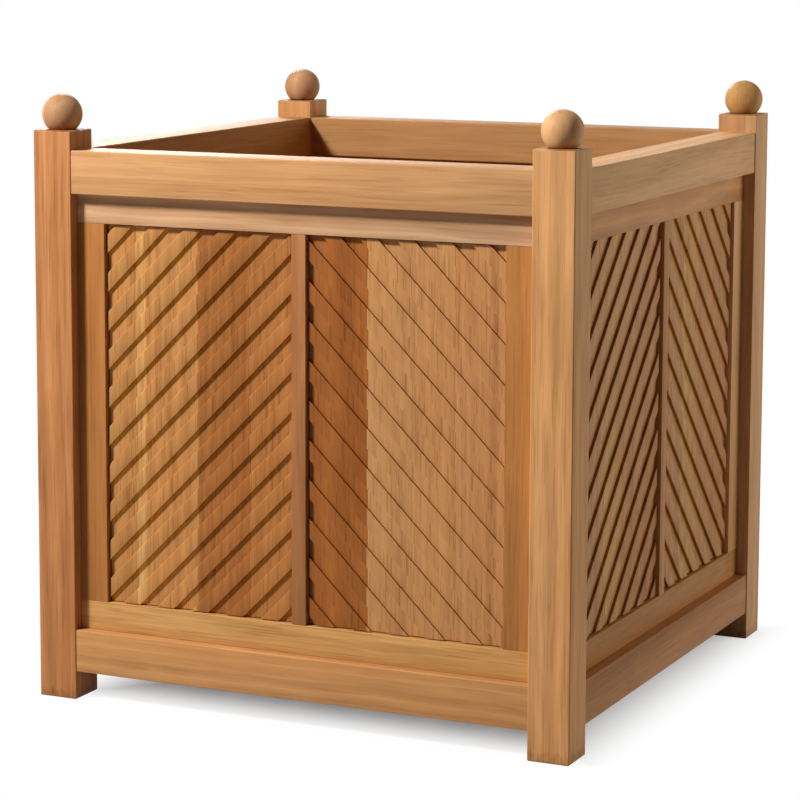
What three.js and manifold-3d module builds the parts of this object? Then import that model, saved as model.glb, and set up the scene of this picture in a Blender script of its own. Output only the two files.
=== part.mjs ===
// Square garden planter in teak: four posts with turned ball finials, four sides of two thick rails
// around a recessed frame with two chevron panels, and a slatted floor. Millimetres, +Z up.
// Origin: the centre of the footprint, on the ground. The front faces -Y.
import * as THREE from "three";
import { mergeVertices } from "three/addons/utils/BufferGeometryUtils.js";
import Module from "manifold-3d";

const wasm = await Module();
wasm.setup();

// Overall
const overallWidth = 600;
const overallDepth = 600;
const postHeight = 600;

// Posts
const postSize = 44;
const postEndChamfer = 1.2;

// Ball finials, each with a spigot that is glued into its post
const ballDiameter = 42;
const ballSeatRatio = 0.76; // the ball's flat lies this share of its radius under its centre
const spigotDiameter = 12;
const spigotLength = 20;
const spigotHoleSpare = 1;
const ballAroundSegments = 28;
const ballArcSegments = 11;

// Top and bottom rails, tenoned into the posts
const railHeight = 45;
const railRecess = 1; // post face to rail face, on both sides of the post
const topRailDrop = 20; // post top to rail top
const groundClearance = 30; // ground to the underside of the bottom rail
const tenonThickness = 14;
const tenonShoulder = 8; // above and below a tenon
const mitreGap = 0.4; // each tenon stops this far short of the mitre line

// Recessed frame between the rails
const frameRecess = 13; // post face to frame face
const frameThickness = 24;
const frameRailHeight = 30.5;
const stileWidth = 32;
const mullionWidth = 16;
const housingDepth = 8; // groove in the post that houses the frame
const housingWidth = 10;

// Grooves that hold the panels, and the stub tenons of stiles and mullion
const grooveSetback = 11.5; // frame face to groove
const grooveWidth = 7;
const grooveDepth = 5;

// Chevron panels
const panelRecess = 3.5; // frame face to the raised bands
const panelThickness = 16.5; // raised face to back
const relief = 3.2; // how far the bands stand above the ground between them
const bandPitch = 28.5; // square to the bands
const bandWidth = 14.2;
const bandAngle = Math.PI / 4;
const panelSideGap = 1.4; // shoulder of the panel to stile or mullion, for the wood to move
const panelEndGap = 1; // shoulder of the panel to the frame rails
const tongueReach = 3.5; // tongue past the edge of the opening
const frontBandStarts = { left: 18, right: 12 }; // lowest band edge above the opening, at the mullion
const sideBandStarts = { left: 0, right: 26 };

// Slatted floor
const cleatSize = 25;
const bearerWidth = 40;
const bearerTenonWidth = 24;
const bearerTenonHeight = 15;
const bearerTenonLength = 12;
const slatThickness = 18;
const slatCount = 7;
const slatGap = 9;
const floorEdgeGap = 1; // floor to the inner corners of the posts

// Clearance of tenons, tongues and spigots in their seats
const fit = 0.3;

// How far a cutting block runs out of the surface that it cuts, or a joined block into its neighbour
const overrun = 1;

// What follows from the sizes above
const railThickness = postSize - 2 * railRecess;
const bottomRailTop = groundClearance + railHeight;
const topRailTop = postHeight - topRailDrop;
const topRailBottom = topRailTop - railHeight;
const openingBottom = bottomRailTop + frameRailHeight;
const openingTop = topRailBottom - frameRailHeight;
const frameBack = frameRecess + frameThickness;
const housingFront = frameRecess + (frameThickness - housingWidth) / 2;
const grooveFront = frameRecess + grooveSetback;
const raisedFace = frameRecess + panelRecess;
const lowFace = raisedFace + relief;
const panelBack = raisedFace + panelThickness;
const cleatTop = groundClearance + cleatSize;
const bearerTenonBottom = groundClearance + (cleatSize - bearerTenonHeight) / 2;

const teak = {
  post: new THREE.Color(0.62, 0.38, 0.19),
  rail: new THREE.Color(0.66, 0.42, 0.22),
  frame: new THREE.Color(0.64, 0.4, 0.21),
  panel: new THREE.Color(0.6, 0.35, 0.16),
  finial: new THREE.Color(0.52, 0.3, 0.14),
  floor: new THREE.Color(0.5, 0.32, 0.18),
};

// A closed geometry as a solid that can be joined and cut.
function solidOf(geometry) {
  const bare = geometry.clone();
  bare.deleteAttribute("normal");
  bare.deleteAttribute("uv");
  const merged = mergeVertices(bare, 1e-5);
  return new wasm.Manifold(new wasm.Mesh({
    numProp: 3,
    vertProperties: new Float32Array(merged.attributes.position.array),
    triVerts: new Uint32Array(merged.index.array),
  }));
}

// A solid's surface as a geometry.
function geometryOf(solid) {
  const surface = solid.getMesh();
  const geometry = new THREE.BufferGeometry();
  geometry.setAttribute("position", new THREE.BufferAttribute(surface.vertProperties, 3));
  geometry.setIndex(new THREE.BufferAttribute(surface.triVerts, 1));
  geometry.computeVertexNormals();
  return geometry;
}

// A geometry's mirror image from left to right, with its faces turned outwards again.
function mirrored(geometry) {
  const image = geometry.clone().applyMatrix4(new THREE.Matrix4().makeScale(-1, 1, 1));
  const corners = image.index.array;
  for (let first = 0; first < corners.length; first += 3) {
    [corners[first], corners[first + 1]] = [corners[first + 1], corners[first]];
  }
  image.computeVertexNormals();
  return image;
}

// A block between two opposite corners, as a geometry.
function blockGeometry(x0, x1, y0, y1, z0, z1) {
  const block = new THREE.BoxGeometry(x1 - x0, y1 - y0, z1 - z0);
  return block.translate((x0 + x1) / 2, (y0 + y1) / 2, (z0 + z1) / 2);
}

function block(x0, x1, y0, y1, z0, z1) {
  return solidOf(blockGeometry(x0, x1, y0, y1, z0, z1));
}

function mesh(name, geometry, colour) {
  const material = new THREE.MeshStandardMaterial({ color: colour, roughness: 0.55, metalness: 0 });
  const piece = new THREE.Mesh(geometry, material);
  piece.name = name;
  return piece;
}

// ---- Posts and finials ----

// The seat for one side's rails and frame, in the post's +X or +Y face. Its axis is at x = y = 0.
function sideSeat(facesY) {
  const half = postSize / 2;
  const halfTenon = tenonThickness / 2 + fit;
  const cut = (deep, open, front, back, bottom, top) => (
    facesY ? block(front, back, deep, open, bottom, top) : block(deep, open, front, back, bottom, top)
  );
  const mortises = [groundClearance, topRailBottom].map((railBottom) => cut(
    -halfTenon, half + overrun, -halfTenon, halfTenon,
    railBottom + tenonShoulder - fit, railBottom + railHeight - tenonShoulder + fit,
  ));
  const housing = cut(
    half - housingDepth, half + overrun, housingFront - half, housingFront + housingWidth - half,
    bottomRailTop, topRailBottom,
  );
  return mortises[0].add(mortises[1]).add(housing);
}

// One post as it stands at the front left corner: its outer faces look along -X and -Y.
function postSolid() {
  const half = postSize / 2;
  const inner = half - postEndChamfer;
  const section = new THREE.Shape([
    new THREE.Vector2(-inner, -inner), new THREE.Vector2(inner, -inner),
    new THREE.Vector2(inner, inner), new THREE.Vector2(-inner, inner),
  ]);
  const bar = new THREE.ExtrudeGeometry(section, {
    depth: postHeight - 2 * postEndChamfer,
    bevelThickness: postEndChamfer,
    bevelSize: postEndChamfer,
    bevelSegments: 1,
  });
  bar.translate(0, 0, postEndChamfer);
  const holeDepth = spigotLength + spigotHoleSpare;
  const hole = new THREE.CylinderGeometry(
    spigotDiameter / 2 + fit, spigotDiameter / 2 + fit, holeDepth + overrun, ballAroundSegments,
  );
  hole.rotateX(Math.PI / 2);
  hole.translate(0, 0, postHeight + (overrun - holeDepth) / 2);
  return solidOf(bar).subtract(sideSeat(false)).subtract(sideSeat(true)).subtract(solidOf(hole));
}

// A ball with a flat seat and a spigot, turned about the post's axis. Its seat is at z = 0.
function finialGeometry() {
  const radius = ballDiameter / 2;
  const centre = radius * ballSeatRatio;
  const seatAngle = -Math.asin(ballSeatRatio);
  const spigotRadius = spigotDiameter / 2;
  const profile = [
    new THREE.Vector2(0, -spigotLength),
    new THREE.Vector2(spigotRadius, -spigotLength),
    new THREE.Vector2(spigotRadius, 0),
  ];
  for (let step = 0; step < ballArcSegments; step += 1) {
    const angle = seatAngle + (Math.PI / 2 - seatAngle) * (step / ballArcSegments);
    profile.push(new THREE.Vector2(radius * Math.cos(angle), centre + radius * Math.sin(angle)));
  }
  profile.push(new THREE.Vector2(0, centre + radius));
  const turned = new THREE.LatheGeometry(profile, ballAroundSegments);
  return turned.rotateX(Math.PI / 2);
}

// ---- One side, drawn as seen from outside ----
// x runs from left to right, y is the depth behind the posts' outer faces, and z is up.

// A rail with a mitred tenon at each end.
function railSolid(span, bottom) {
  const body = block(
    -span / 2, span / 2, railRecess, railRecess + railThickness, bottom, bottom + railHeight,
  );
  const axis = span / 2 + postSize / 2;
  const front = (postSize - tenonThickness) / 2;
  const back = front + tenonThickness;
  const reach = tenonThickness / 2 - mitreGap;
  const outline = new THREE.Shape([
    new THREE.Vector2(-axis - reach, front), new THREE.Vector2(axis + reach, front),
    new THREE.Vector2(axis + reach - tenonThickness, back),
    new THREE.Vector2(-axis - reach + tenonThickness, back),
  ]);
  const tenons = new THREE.ExtrudeGeometry(outline, {
    depth: railHeight - 2 * tenonShoulder,
    bevelEnabled: false,
  });
  tenons.translate(0, 0, bottom + tenonShoulder);
  return body.add(solidOf(tenons));
}

// A bottom rail on a side that carries the floor's bearer has a mortise in its inner face.
function bearerMortise() {
  const inner = railRecess + railThickness;
  const halfWidth = bearerTenonWidth / 2 + fit;
  return block(
    -halfWidth, halfWidth, inner - bearerTenonLength - fit, inner + overrun,
    bearerTenonBottom - fit, bearerTenonBottom + bearerTenonHeight + fit,
  );
}

// The long groove for panels and stub tenons, in an edge between z0 and z1.
function grooveBlock(x0, x1, z0, z1) {
  return block(x0, x1, grooveFront, grooveFront + grooveWidth, z0, z1);
}

// A frame rail: a groove along its inner edge and a tongue in the posts at each end.
function frameRailSolid(span, isTop) {
  const bottom = isTop ? openingTop : bottomRailTop;
  const top = bottom + frameRailHeight;
  const body = block(-span / 2, span / 2, frameRecess, frameBack, bottom, top);
  const groove = grooveBlock(
    -span / 2 - overrun, span / 2 + overrun,
    isTop ? bottom - overrun : top - grooveDepth, isTop ? bottom + grooveDepth : top + overrun,
  );
  const reach = span / 2 + housingDepth - fit;
  const tongueBottom = isTop ? bottom + grooveDepth : bottom + fit;
  const tongueTop = isTop ? top - fit : top - grooveDepth;
  const tongues = block(
    -reach, reach, housingFront + fit, housingFront + housingWidth - fit, tongueBottom, tongueTop,
  );
  return body.subtract(groove).add(tongues);
}

// The stub tenons of an upright whose width runs from x0 to x1.
function stubTenons(x0, x1) {
  const reach = grooveDepth - fit;
  return block(
    x0, x1, grooveFront + fit, grooveFront + grooveWidth - fit, openingBottom - reach, openingTop + reach,
  );
}

// The right stile: groove on its inner edge, tongue in the post on its outer edge.
function rightStileGeometry(span) {
  const outer = span / 2;
  const inner = outer - stileWidth;
  const body = block(inner, outer, frameRecess, frameBack, openingBottom, openingTop);
  const tongue = block(
    inner + grooveDepth, outer + housingDepth - fit,
    housingFront + fit, housingFront + housingWidth - fit, openingBottom, openingTop,
  );
  const groove = grooveBlock(
    inner - overrun, inner + grooveDepth, openingBottom - grooveDepth, openingTop + grooveDepth,
  );
  return geometryOf(body.add(tongue).add(stubTenons(inner, outer)).subtract(groove));
}

// The mullion: a groove on each edge, for the panels on both sides of it.
function mullionGeometry() {
  const half = mullionWidth / 2;
  const bottom = openingBottom - grooveDepth;
  const top = openingTop + grooveDepth;
  const body = block(-half, half, frameRecess, frameBack, openingBottom, openingTop);
  const leftGroove = grooveBlock(-half - overrun, -half + grooveDepth, bottom, top);
  const rightGroove = grooveBlock(half - grooveDepth, half + overrun, bottom, top);
  const grooved = body.add(stubTenons(-half, half)).subtract(leftGroove).subtract(rightGroove);
  return geometryOf(grooved);
}

// The raised bands of the left panel, which climb towards the mullion. Each runs right across the
// panel between x0 and x1; the edge of one meets the mullion's side start above the opening.
function bandSolids(x0, x1, start) {
  const along = new THREE.Vector3(Math.cos(bandAngle), 0, Math.sin(bandAngle));
  const across = new THREE.Vector3(-Math.sin(bandAngle), 0, Math.cos(bandAngle));
  const origin = new THREE.Vector3(-mullionWidth / 2, 0, openingBottom + start);
  const corners = [x0, x1].flatMap((x) => [openingBottom, openingTop].map(
    (z) => new THREE.Vector3(x, 0, z).sub(origin),
  ));
  const offsets = corners.map((corner) => corner.dot(across));
  const shift = corners.reduce((sum, corner) => sum + corner.dot(along), 0) / corners.length;
  const length = 2 * Math.hypot(x1 - x0, openingTop - openingBottom);
  const first = Math.floor(Math.min(...offsets) / bandPitch);
  const last = Math.ceil(Math.max(...offsets) / bandPitch);
  const bands = [];
  for (let number = first; number <= last; number += 1) {
    const centre = origin.clone()
      .addScaledVector(across, number * bandPitch + bandWidth / 2)
      .addScaledVector(along, shift);
    const band = new THREE.BoxGeometry(length, relief + overrun, bandWidth);
    band.rotateY(-bandAngle);
    band.translate(centre.x, raisedFace + (relief + overrun) / 2, centre.z);
    bands.push(solidOf(band));
  }
  return bands;
}

// The left panel: a milled field with a tongue round it.
function leftPanelGeometry(span, start) {
  const openingLeft = -span / 2 + stileWidth;
  const openingRight = -mullionWidth / 2;
  const x0 = openingLeft + panelSideGap;
  const x1 = openingRight - panelSideGap;
  const z0 = openingBottom + panelEndGap;
  const z1 = openingTop - panelEndGap;
  const plate = block(x0, x1, lowFace, panelBack, z0, z1);
  const longBands = bandSolids(x0, x1, start).reduce((sum, band) => sum.add(band));
  const bands = longBands.intersect(block(x0, x1, raisedFace, lowFace + overrun, z0, z1));
  const tongue = block(
    openingLeft - tongueReach, openingRight + tongueReach,
    grooveFront + fit, grooveFront + grooveWidth - fit,
    openingBottom - tongueReach, openingTop + tongueReach,
  );
  return geometryOf(plate.add(bands).add(tongue));
}

// The nine pieces of one side. A right panel mirrors a left one with a start of its own.
function side(name, span, bandStarts, carriesBearer) {
  const plainRail = railSolid(span, groundClearance);
  const bottomRail = carriesBearer ? plainRail.subtract(bearerMortise()) : plainRail;
  const rightStile = rightStileGeometry(span);
  const rightPanel = mirrored(leftPanelGeometry(span, bandStarts.right));
  const pieces = new THREE.Group();
  pieces.add(
    mesh(`${name}_top_rail`, geometryOf(railSolid(span, topRailBottom)), teak.rail),
    mesh(`${name}_bottom_rail`, geometryOf(bottomRail), teak.rail),
    mesh(`${name}_frame_top_rail`, geometryOf(frameRailSolid(span, true)), teak.frame),
    mesh(`${name}_frame_bottom_rail`, geometryOf(frameRailSolid(span, false)), teak.frame),
    mesh(`${name}_left_stile`, mirrored(rightStile), teak.frame),
    mesh(`${name}_right_stile`, rightStile, teak.frame),
    mesh(`${name}_mullion`, mullionGeometry(), teak.frame),
    mesh(`${name}_left_panel`, leftPanelGeometry(span, bandStarts.left), teak.panel),
    mesh(`${name}_right_panel`, rightPanel, teak.panel),
  );
  return pieces;
}

// ---- Floor ----

// Cleats along the front and back rails, a bearer between the side rails, and slats on top.
function floor() {
  const pieces = new THREE.Group();
  const railInnerX = overallWidth / 2 - railRecess - railThickness;
  const railInnerY = overallDepth / 2 - railRecess - railThickness;
  const halfX = overallWidth / 2 - postSize - floorEdgeGap;
  const halfY = overallDepth / 2 - postSize - floorEdgeGap;
  const cleats = { front_cleat: -railInnerY, back_cleat: railInnerY - cleatSize };
  for (const [name, y] of Object.entries(cleats)) {
    const cleat = blockGeometry(-halfX, halfX, y, y + cleatSize, groundClearance, cleatTop);
    pieces.add(mesh(name, cleat, teak.floor));
  }
  const bearer = block(
    -railInnerX, railInnerX, -bearerWidth / 2, bearerWidth / 2, groundClearance, cleatTop,
  );
  const tenonReach = railInnerX + bearerTenonLength - fit;
  const tenons = block(
    -tenonReach, tenonReach, -bearerTenonWidth / 2, bearerTenonWidth / 2,
    bearerTenonBottom, bearerTenonBottom + bearerTenonHeight,
  );
  pieces.add(mesh("floor_bearer", geometryOf(bearer.add(tenons)), teak.floor));
  const slatWidth = (2 * halfX - (slatCount - 1) * slatGap) / slatCount;
  for (let number = 0; number < slatCount; number += 1) {
    const x = -halfX + number * (slatWidth + slatGap);
    const slat = blockGeometry(x, x + slatWidth, -halfY, halfY, cleatTop, cleatTop + slatThickness);
    pieces.add(mesh(`floor_slat_${number + 1}`, slat, teak.floor));
  }
  return pieces;
}

// ---- Assembly ----

const planter = new THREE.Group();
const quarterTurn = Math.PI / 2;

const corners = [
  { name: "front_left", x: -1, y: -1 },
  { name: "front_right", x: 1, y: -1 },
  { name: "back_right", x: 1, y: 1 },
  { name: "back_left", x: -1, y: 1 },
];
const postGeometry = geometryOf(postSolid());
corners.forEach(({ name, x, y }, turn) => {
  const corner = new THREE.Group();
  corner.position.set(x * (overallWidth - postSize) / 2, y * (overallDepth - postSize) / 2, 0);
  corner.rotation.z = turn * quarterTurn;
  const finial = mesh(`${name}_finial`, finialGeometry(), teak.finial);
  finial.position.z = postHeight;
  corner.add(mesh(`${name}_post`, postGeometry, teak.post), finial);
  planter.add(corner);
});

const sides = [
  { name: "front", length: overallWidth, distance: overallDepth, starts: frontBandStarts },
  { name: "right", length: overallDepth, distance: overallWidth, starts: sideBandStarts },
  { name: "back", length: overallWidth, distance: overallDepth, starts: frontBandStarts },
  { name: "left", length: overallDepth, distance: overallWidth, starts: sideBandStarts },
];
sides.forEach(({ name, length, distance, starts }, turn) => {
  const pieces = side(name, length - 2 * postSize, starts, turn % 2 === 1);
  pieces.position.y = -distance / 2;
  const turned = new THREE.Group();
  turned.rotation.z = turn * quarterTurn;
  turned.add(pieces);
  planter.add(turned);
});

planter.add(floor());

export default planter;
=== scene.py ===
"""Garden planter in oiled teak: four posts with turned ball finials, four sides of two thick rails
round a recessed frame with two chevron panels, and a slatted floor held down by countersunk screws.

Metres, +Z up. The origin is the centre of the footprint, on the ground, and the front faces -Y.
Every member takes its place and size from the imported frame, and rides on the frame's one body.
"""

import logging
import math
from collections.abc import Callable, Iterable
from dataclasses import dataclass, field
from enum import Enum
from random import Random

import bmesh
import bpy
from mathutils import Matrix, Vector


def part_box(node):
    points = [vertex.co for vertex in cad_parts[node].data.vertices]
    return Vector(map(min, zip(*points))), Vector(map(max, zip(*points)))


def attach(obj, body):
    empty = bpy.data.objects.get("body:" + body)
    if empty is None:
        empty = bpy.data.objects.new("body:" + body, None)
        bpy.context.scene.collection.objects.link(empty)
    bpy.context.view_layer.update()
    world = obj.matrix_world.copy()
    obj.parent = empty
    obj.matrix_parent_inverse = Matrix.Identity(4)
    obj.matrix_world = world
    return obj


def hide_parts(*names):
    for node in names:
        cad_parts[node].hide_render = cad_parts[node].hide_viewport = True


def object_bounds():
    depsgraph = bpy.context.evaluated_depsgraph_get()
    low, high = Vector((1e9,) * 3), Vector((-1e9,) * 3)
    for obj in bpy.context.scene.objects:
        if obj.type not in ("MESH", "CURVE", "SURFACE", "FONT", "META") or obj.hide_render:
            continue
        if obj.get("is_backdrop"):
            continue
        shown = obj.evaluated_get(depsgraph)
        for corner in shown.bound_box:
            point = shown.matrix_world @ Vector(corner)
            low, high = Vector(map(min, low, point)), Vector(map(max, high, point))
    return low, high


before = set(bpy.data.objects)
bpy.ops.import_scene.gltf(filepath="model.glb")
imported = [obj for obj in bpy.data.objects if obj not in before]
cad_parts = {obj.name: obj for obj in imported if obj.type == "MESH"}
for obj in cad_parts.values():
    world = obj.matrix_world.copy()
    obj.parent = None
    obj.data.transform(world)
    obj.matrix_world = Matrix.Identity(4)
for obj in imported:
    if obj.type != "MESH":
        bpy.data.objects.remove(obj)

log = logging.getLogger("planter")

BODY = "root"
MM = 0.001
SCREEN_GAMMA = 2.2  # turns a shade as shown on a screen into a linear colour

# Attributes that the meshes carry for the finishes
TIMBER = "timber"  # a point's place in the log: along the grain, then two ways across it, metres
END_GRAIN = "end_grain"  # 1 on faces sawn across the grain
ARRIS = "arris"  # 1 on the eased edges
# On panels the tone is also far lower on the tongues in the gaps: painted shade.
TONE = "tone"  # how light the board is, about 1
ACROSS = "across"  # share of a panel's width, from its left edge as seen from outside
GROUND = "ground"  # 1 on the milled ground between a panel's bands, and on the bands' walls
BAND_COUNT = "band_count"  # how many pitches of the bands a point lies above the first band's foot

Socket = bpy.types.NodeSocket
Wires = dict[str, Socket]


# ---------------------------------------------------------------------------
# Names for the choices that the planter offers
# ---------------------------------------------------------------------------


class Grain(Enum):
    """The world axis that a board's fibres follow, and then the two axes across it."""

    X = (0, 1, 2)
    Y = (1, 0, 2)
    Z = (2, 0, 1)

    @property
    def along(self) -> int:
        """The number of the axis that the fibres follow."""
        return self.value[0]


class Side(Enum):
    """The planter's sides, by how many quarter turns carry the front side to them."""

    FRONT = 0
    RIGHT = 1
    BACK = 2
    LEFT = 3

    @property
    def word(self) -> str:
        """The side's name in the frame's node names."""
        return self.name.lower()

    @property
    def grain(self) -> Grain:
        """The way that this side's rails run."""
        return Grain.X if self.value % 2 == 0 else Grain.Y

    @property
    def turn(self) -> Matrix:
        """The turn about the vertical that carries the front side to this one."""
        return Matrix.Rotation(self.value * math.pi / 2, 4, "Z")


class Hand(Enum):
    """A panel's place beside the mullion, by the way its bands lean: up to the mullion."""

    LEFT = 1
    RIGHT = -1

    @property
    def word(self) -> str:
        """The hand's name in the frame's node names."""
        return self.name.lower()


class Shade(Enum):
    """Colours of planed and oiled teak, as they show on a screen."""

    PALE = (0.775, 0.602, 0.450)
    CREAM = (0.860, 0.645, 0.440)
    HONEY = (0.790, 0.586, 0.394)
    WHEAT = (0.845, 0.605, 0.385)
    ROSE = (0.710, 0.522, 0.372)
    STRAW = (0.765, 0.545, 0.343)
    GOLD = (0.800, 0.590, 0.355)
    AMBER = (0.760, 0.530, 0.333)
    OCHRE = (0.722, 0.498, 0.290)
    SIENNA = (0.728, 0.488, 0.305)
    FAWN = (0.705, 0.507, 0.322)
    TAWNY = (0.703, 0.470, 0.257)
    CLAY = (0.662, 0.428, 0.232)
    UMBER = (0.660, 0.443, 0.280)
    CHESTNUT = (0.613, 0.381, 0.198)
    RUSSET = (0.617, 0.368, 0.182)

    @property
    def linear(self) -> tuple[float, float, float, float]:
        """The shade as a linear colour with alpha."""
        return (*(bright ** SCREEN_GAMMA for bright in self.value), 1.0)


class Figure(Enum):
    """How a board grew and was sawn: how strong its rings, patches, streaks and dark lines are."""

    STRAIGHT = (0.18, 0.18, 0.13, 0.11)
    FLAME = (0.32, 0.20, 0.11, 0.08)
    CLOUDY = (0.16, 0.34, 0.11, 0.08)
    COARSE = (0.22, 0.26, 0.20, 0.17)
    STRIPED = (0.24, 0.18, 0.18, 0.22)


class Glow(Enum):
    """How warm the painted shade on a panel's grooves is, on the ground under each band's lower wall where
    the band's shadow falls, as factors on the shade.
    """

    NONE = (1.0, 1.0, 1.0, 1.0)
    MILD = (1.18, 1.10, 0.55, 1.0)
    WARM = (1.55, 1.32, 0.18, 1.0)


# ---------------------------------------------------------------------------
# Node trees
# ---------------------------------------------------------------------------


class Graph:
    """A node tree, with short calls that add nodes and join their sockets."""

    def __init__(self, tree: bpy.types.NodeTree) -> None:
        """Work on a tree.

        Args:
            tree: A shader or Geometry Nodes tree.
        """
        self.tree = tree

    def feed(self, target: Socket, source: object) -> None:
        """Give a socket its value.

        Args:
            target: The input socket.
            source: The socket that feeds it, or a plain value.
        """
        if isinstance(source, Socket):
            self.tree.links.new(source, target)
        else:
            target.default_value = source

    def add(self, kind: str, inputs: dict[str, object] | None = None, **settings: object) -> bpy.types.Node:
        """Add a node.

        Args:
            kind: The node's type.
            inputs: What feeds its input sockets, by their identifiers.
            settings: Values of the node's own properties.

        Returns:
            The new node.
        """
        node = self.tree.nodes.new(kind)
        for name, value in settings.items():
            setattr(node, name, value)
        sockets = {socket.identifier: socket for socket in node.inputs}
        for name, source in (inputs or {}).items():
            self.feed(sockets[name], source)
        return node

    def math(self, operation: str, first: object, second: object = 0.0, third: object = 0.0) -> Socket:
        """Add a math node and return its result.

        Args:
            operation: The name of the operation.
            first: Its first operand, a socket or a number.
            second: Its second operand.
            third: Its third operand.

        Returns:
            The socket with the result.
        """
        node = self.add("ShaderNodeMath", operation=operation)
        for target, source in zip(node.inputs, (first, second, third)):
            self.feed(target, source)
        return node.outputs[0]

    def vector(self, operation: str, first: object, second: object) -> Socket:
        """Add a vector math node and return its result.

        Args:
            operation: The name of the operation.
            first: Its first operand, a socket or a triple.
            second: Its second operand.

        Returns:
            The socket with the result.
        """
        node = self.add("ShaderNodeVectorMath", operation=operation)
        self.feed(node.inputs[0], first)
        self.feed(node.inputs[1], second)
        return node.outputs["Vector"]

    def split(self, vector: Socket) -> tuple[Socket, Socket, Socket]:
        """Return a vector's three parts.

        Args:
            vector: The socket with the vector.

        Returns:
            The sockets with its X, Y and Z.
        """
        node = self.add("ShaderNodeSeparateXYZ", {"Vector": vector})
        return tuple(node.outputs)

    def join(self, x: object, y: object, z: object) -> Socket:
        """Return a vector made of three numbers, each a socket or a plain number."""
        return self.add("ShaderNodeCombineXYZ", {"X": x, "Y": y, "Z": z}).outputs[0]

    def stretched(self, vector: Socket, along: float, across: float) -> Socket:
        """Scale a place in the log, so that a noise comes out long with the grain.

        Args:
            vector: The place in the log.
            along: Features per metre with the grain.
            across: Features per metre across the grain.

        Returns:
            The socket with the scaled place.
        """
        return self.vector("MULTIPLY", vector, (along, across, across))

    def noise(self, vector: Socket, detail: float = 2.0, distortion: float = 0.0) -> Socket:
        """Return a smooth noise of a place, about 0.5.

        Args:
            vector: The place, in features.
            detail: How many finer noises are laid over the first.
            distortion: How far the noise is warped by itself.

        Returns:
            The socket with the noise.
        """
        inputs = {"Vector": vector, "Scale": 1.0, "Detail": detail, "Distortion": distortion}
        return self.add("ShaderNodeTexNoise", inputs).outputs[0]

    def swing(self, value: Socket, depth: object) -> Socket:
        """Return how far a noise is from its middle, times a depth.

        Args:
            value: A noise about 0.5.
            depth: The depth, a socket or a number.

        Returns:
            The socket with a number about 0.
        """
        doubled = self.math("MULTIPLY_ADD", value, 2.0, -1.0)
        return self.math("MULTIPLY", doubled, depth)

    def ramp(self, value: Socket, start: float, end: float, low: float = 0.0, high: float = 1.0) -> Socket:
        """Return a smooth step of a value.

        Args:
            value: The value.
            start: Where the step begins.
            end: Where the step ends.
            low: The result before the step.
            high: The result after it.

        Returns:
            The socket with the result.
        """
        inputs = {"Value": value, "From Min": start, "From Max": end, "To Min": low, "To Max": high}
        return self.add("ShaderNodeMapRange", inputs, interpolation_type="SMOOTHSTEP").outputs[0]

    def blend(self, factor: object, first: object, second: object, how: str = "MIX") -> Socket:
        """Return a mix of two colours.

        Args:
            factor: The second colour's share.
            first: The first colour.
            second: The second colour.
            how: The name of the blend.

        Returns:
            The socket with the colour.
        """
        inputs = {"Factor_Float": factor, "A_Color": first, "B_Color": second}
        node = self.add("ShaderNodeMix", data_type="RGBA", blend_type=how)
        sockets = {socket.identifier: socket for socket in node.inputs}
        for name, source in inputs.items():
            self.feed(sockets[name], source)
        return next(out for out in node.outputs if out.enabled)

    def attribute(self, name: str) -> bpy.types.Node:
        """Add a node that reads one of the mesh's attributes."""
        return self.add("ShaderNodeAttribute", attribute_name=name)


class ShaderEffect:
    """A look that several finishes share, as a shader node group that is built once."""

    title = ""
    takes: tuple[tuple[str, str, object], ...] = ()
    gives: tuple[tuple[str, str], ...] = ()

    def wire(self, graph: Graph, given: Wires) -> Wires:
        """Add the group's nodes.

        Args:
            graph: The group's tree.
            given: The group's inputs, by name.

        Returns:
            The group's outputs, by name.
        """
        raise NotImplementedError

    def tree(self) -> bpy.types.NodeTree:
        """Return the node group, and build it on the first call."""
        made = bpy.data.node_groups.get(self.title)
        if made is not None:
            return made
        made = bpy.data.node_groups.new(self.title, "ShaderNodeTree")
        for kind, name, value in self.takes:
            made.interface.new_socket(name, in_out="INPUT", socket_type=kind).default_value = value
        for kind, name in self.gives:
            made.interface.new_socket(name, in_out="OUTPUT", socket_type=kind)
        graph = Graph(made)
        entry = graph.add("NodeGroupInput")
        leave = graph.add("NodeGroupOutput")
        results = self.wire(graph, {socket.name: socket for socket in entry.outputs})
        for name, result in results.items():
            graph.feed(leave.inputs[name], result)
        return made

    def place(self, graph: Graph, **inputs: object) -> bpy.types.Node:
        """Put the group in a material.

        Args:
            graph: The material's tree.
            inputs: What feeds the group, by input names with _ for each space.

        Returns:
            The group's node.
        """
        node = graph.add("ShaderNodeGroup", node_tree=self.tree())
        for name, source in inputs.items():
            graph.feed(node.inputs[name.replace("_", " ")], source)
        return node


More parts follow.
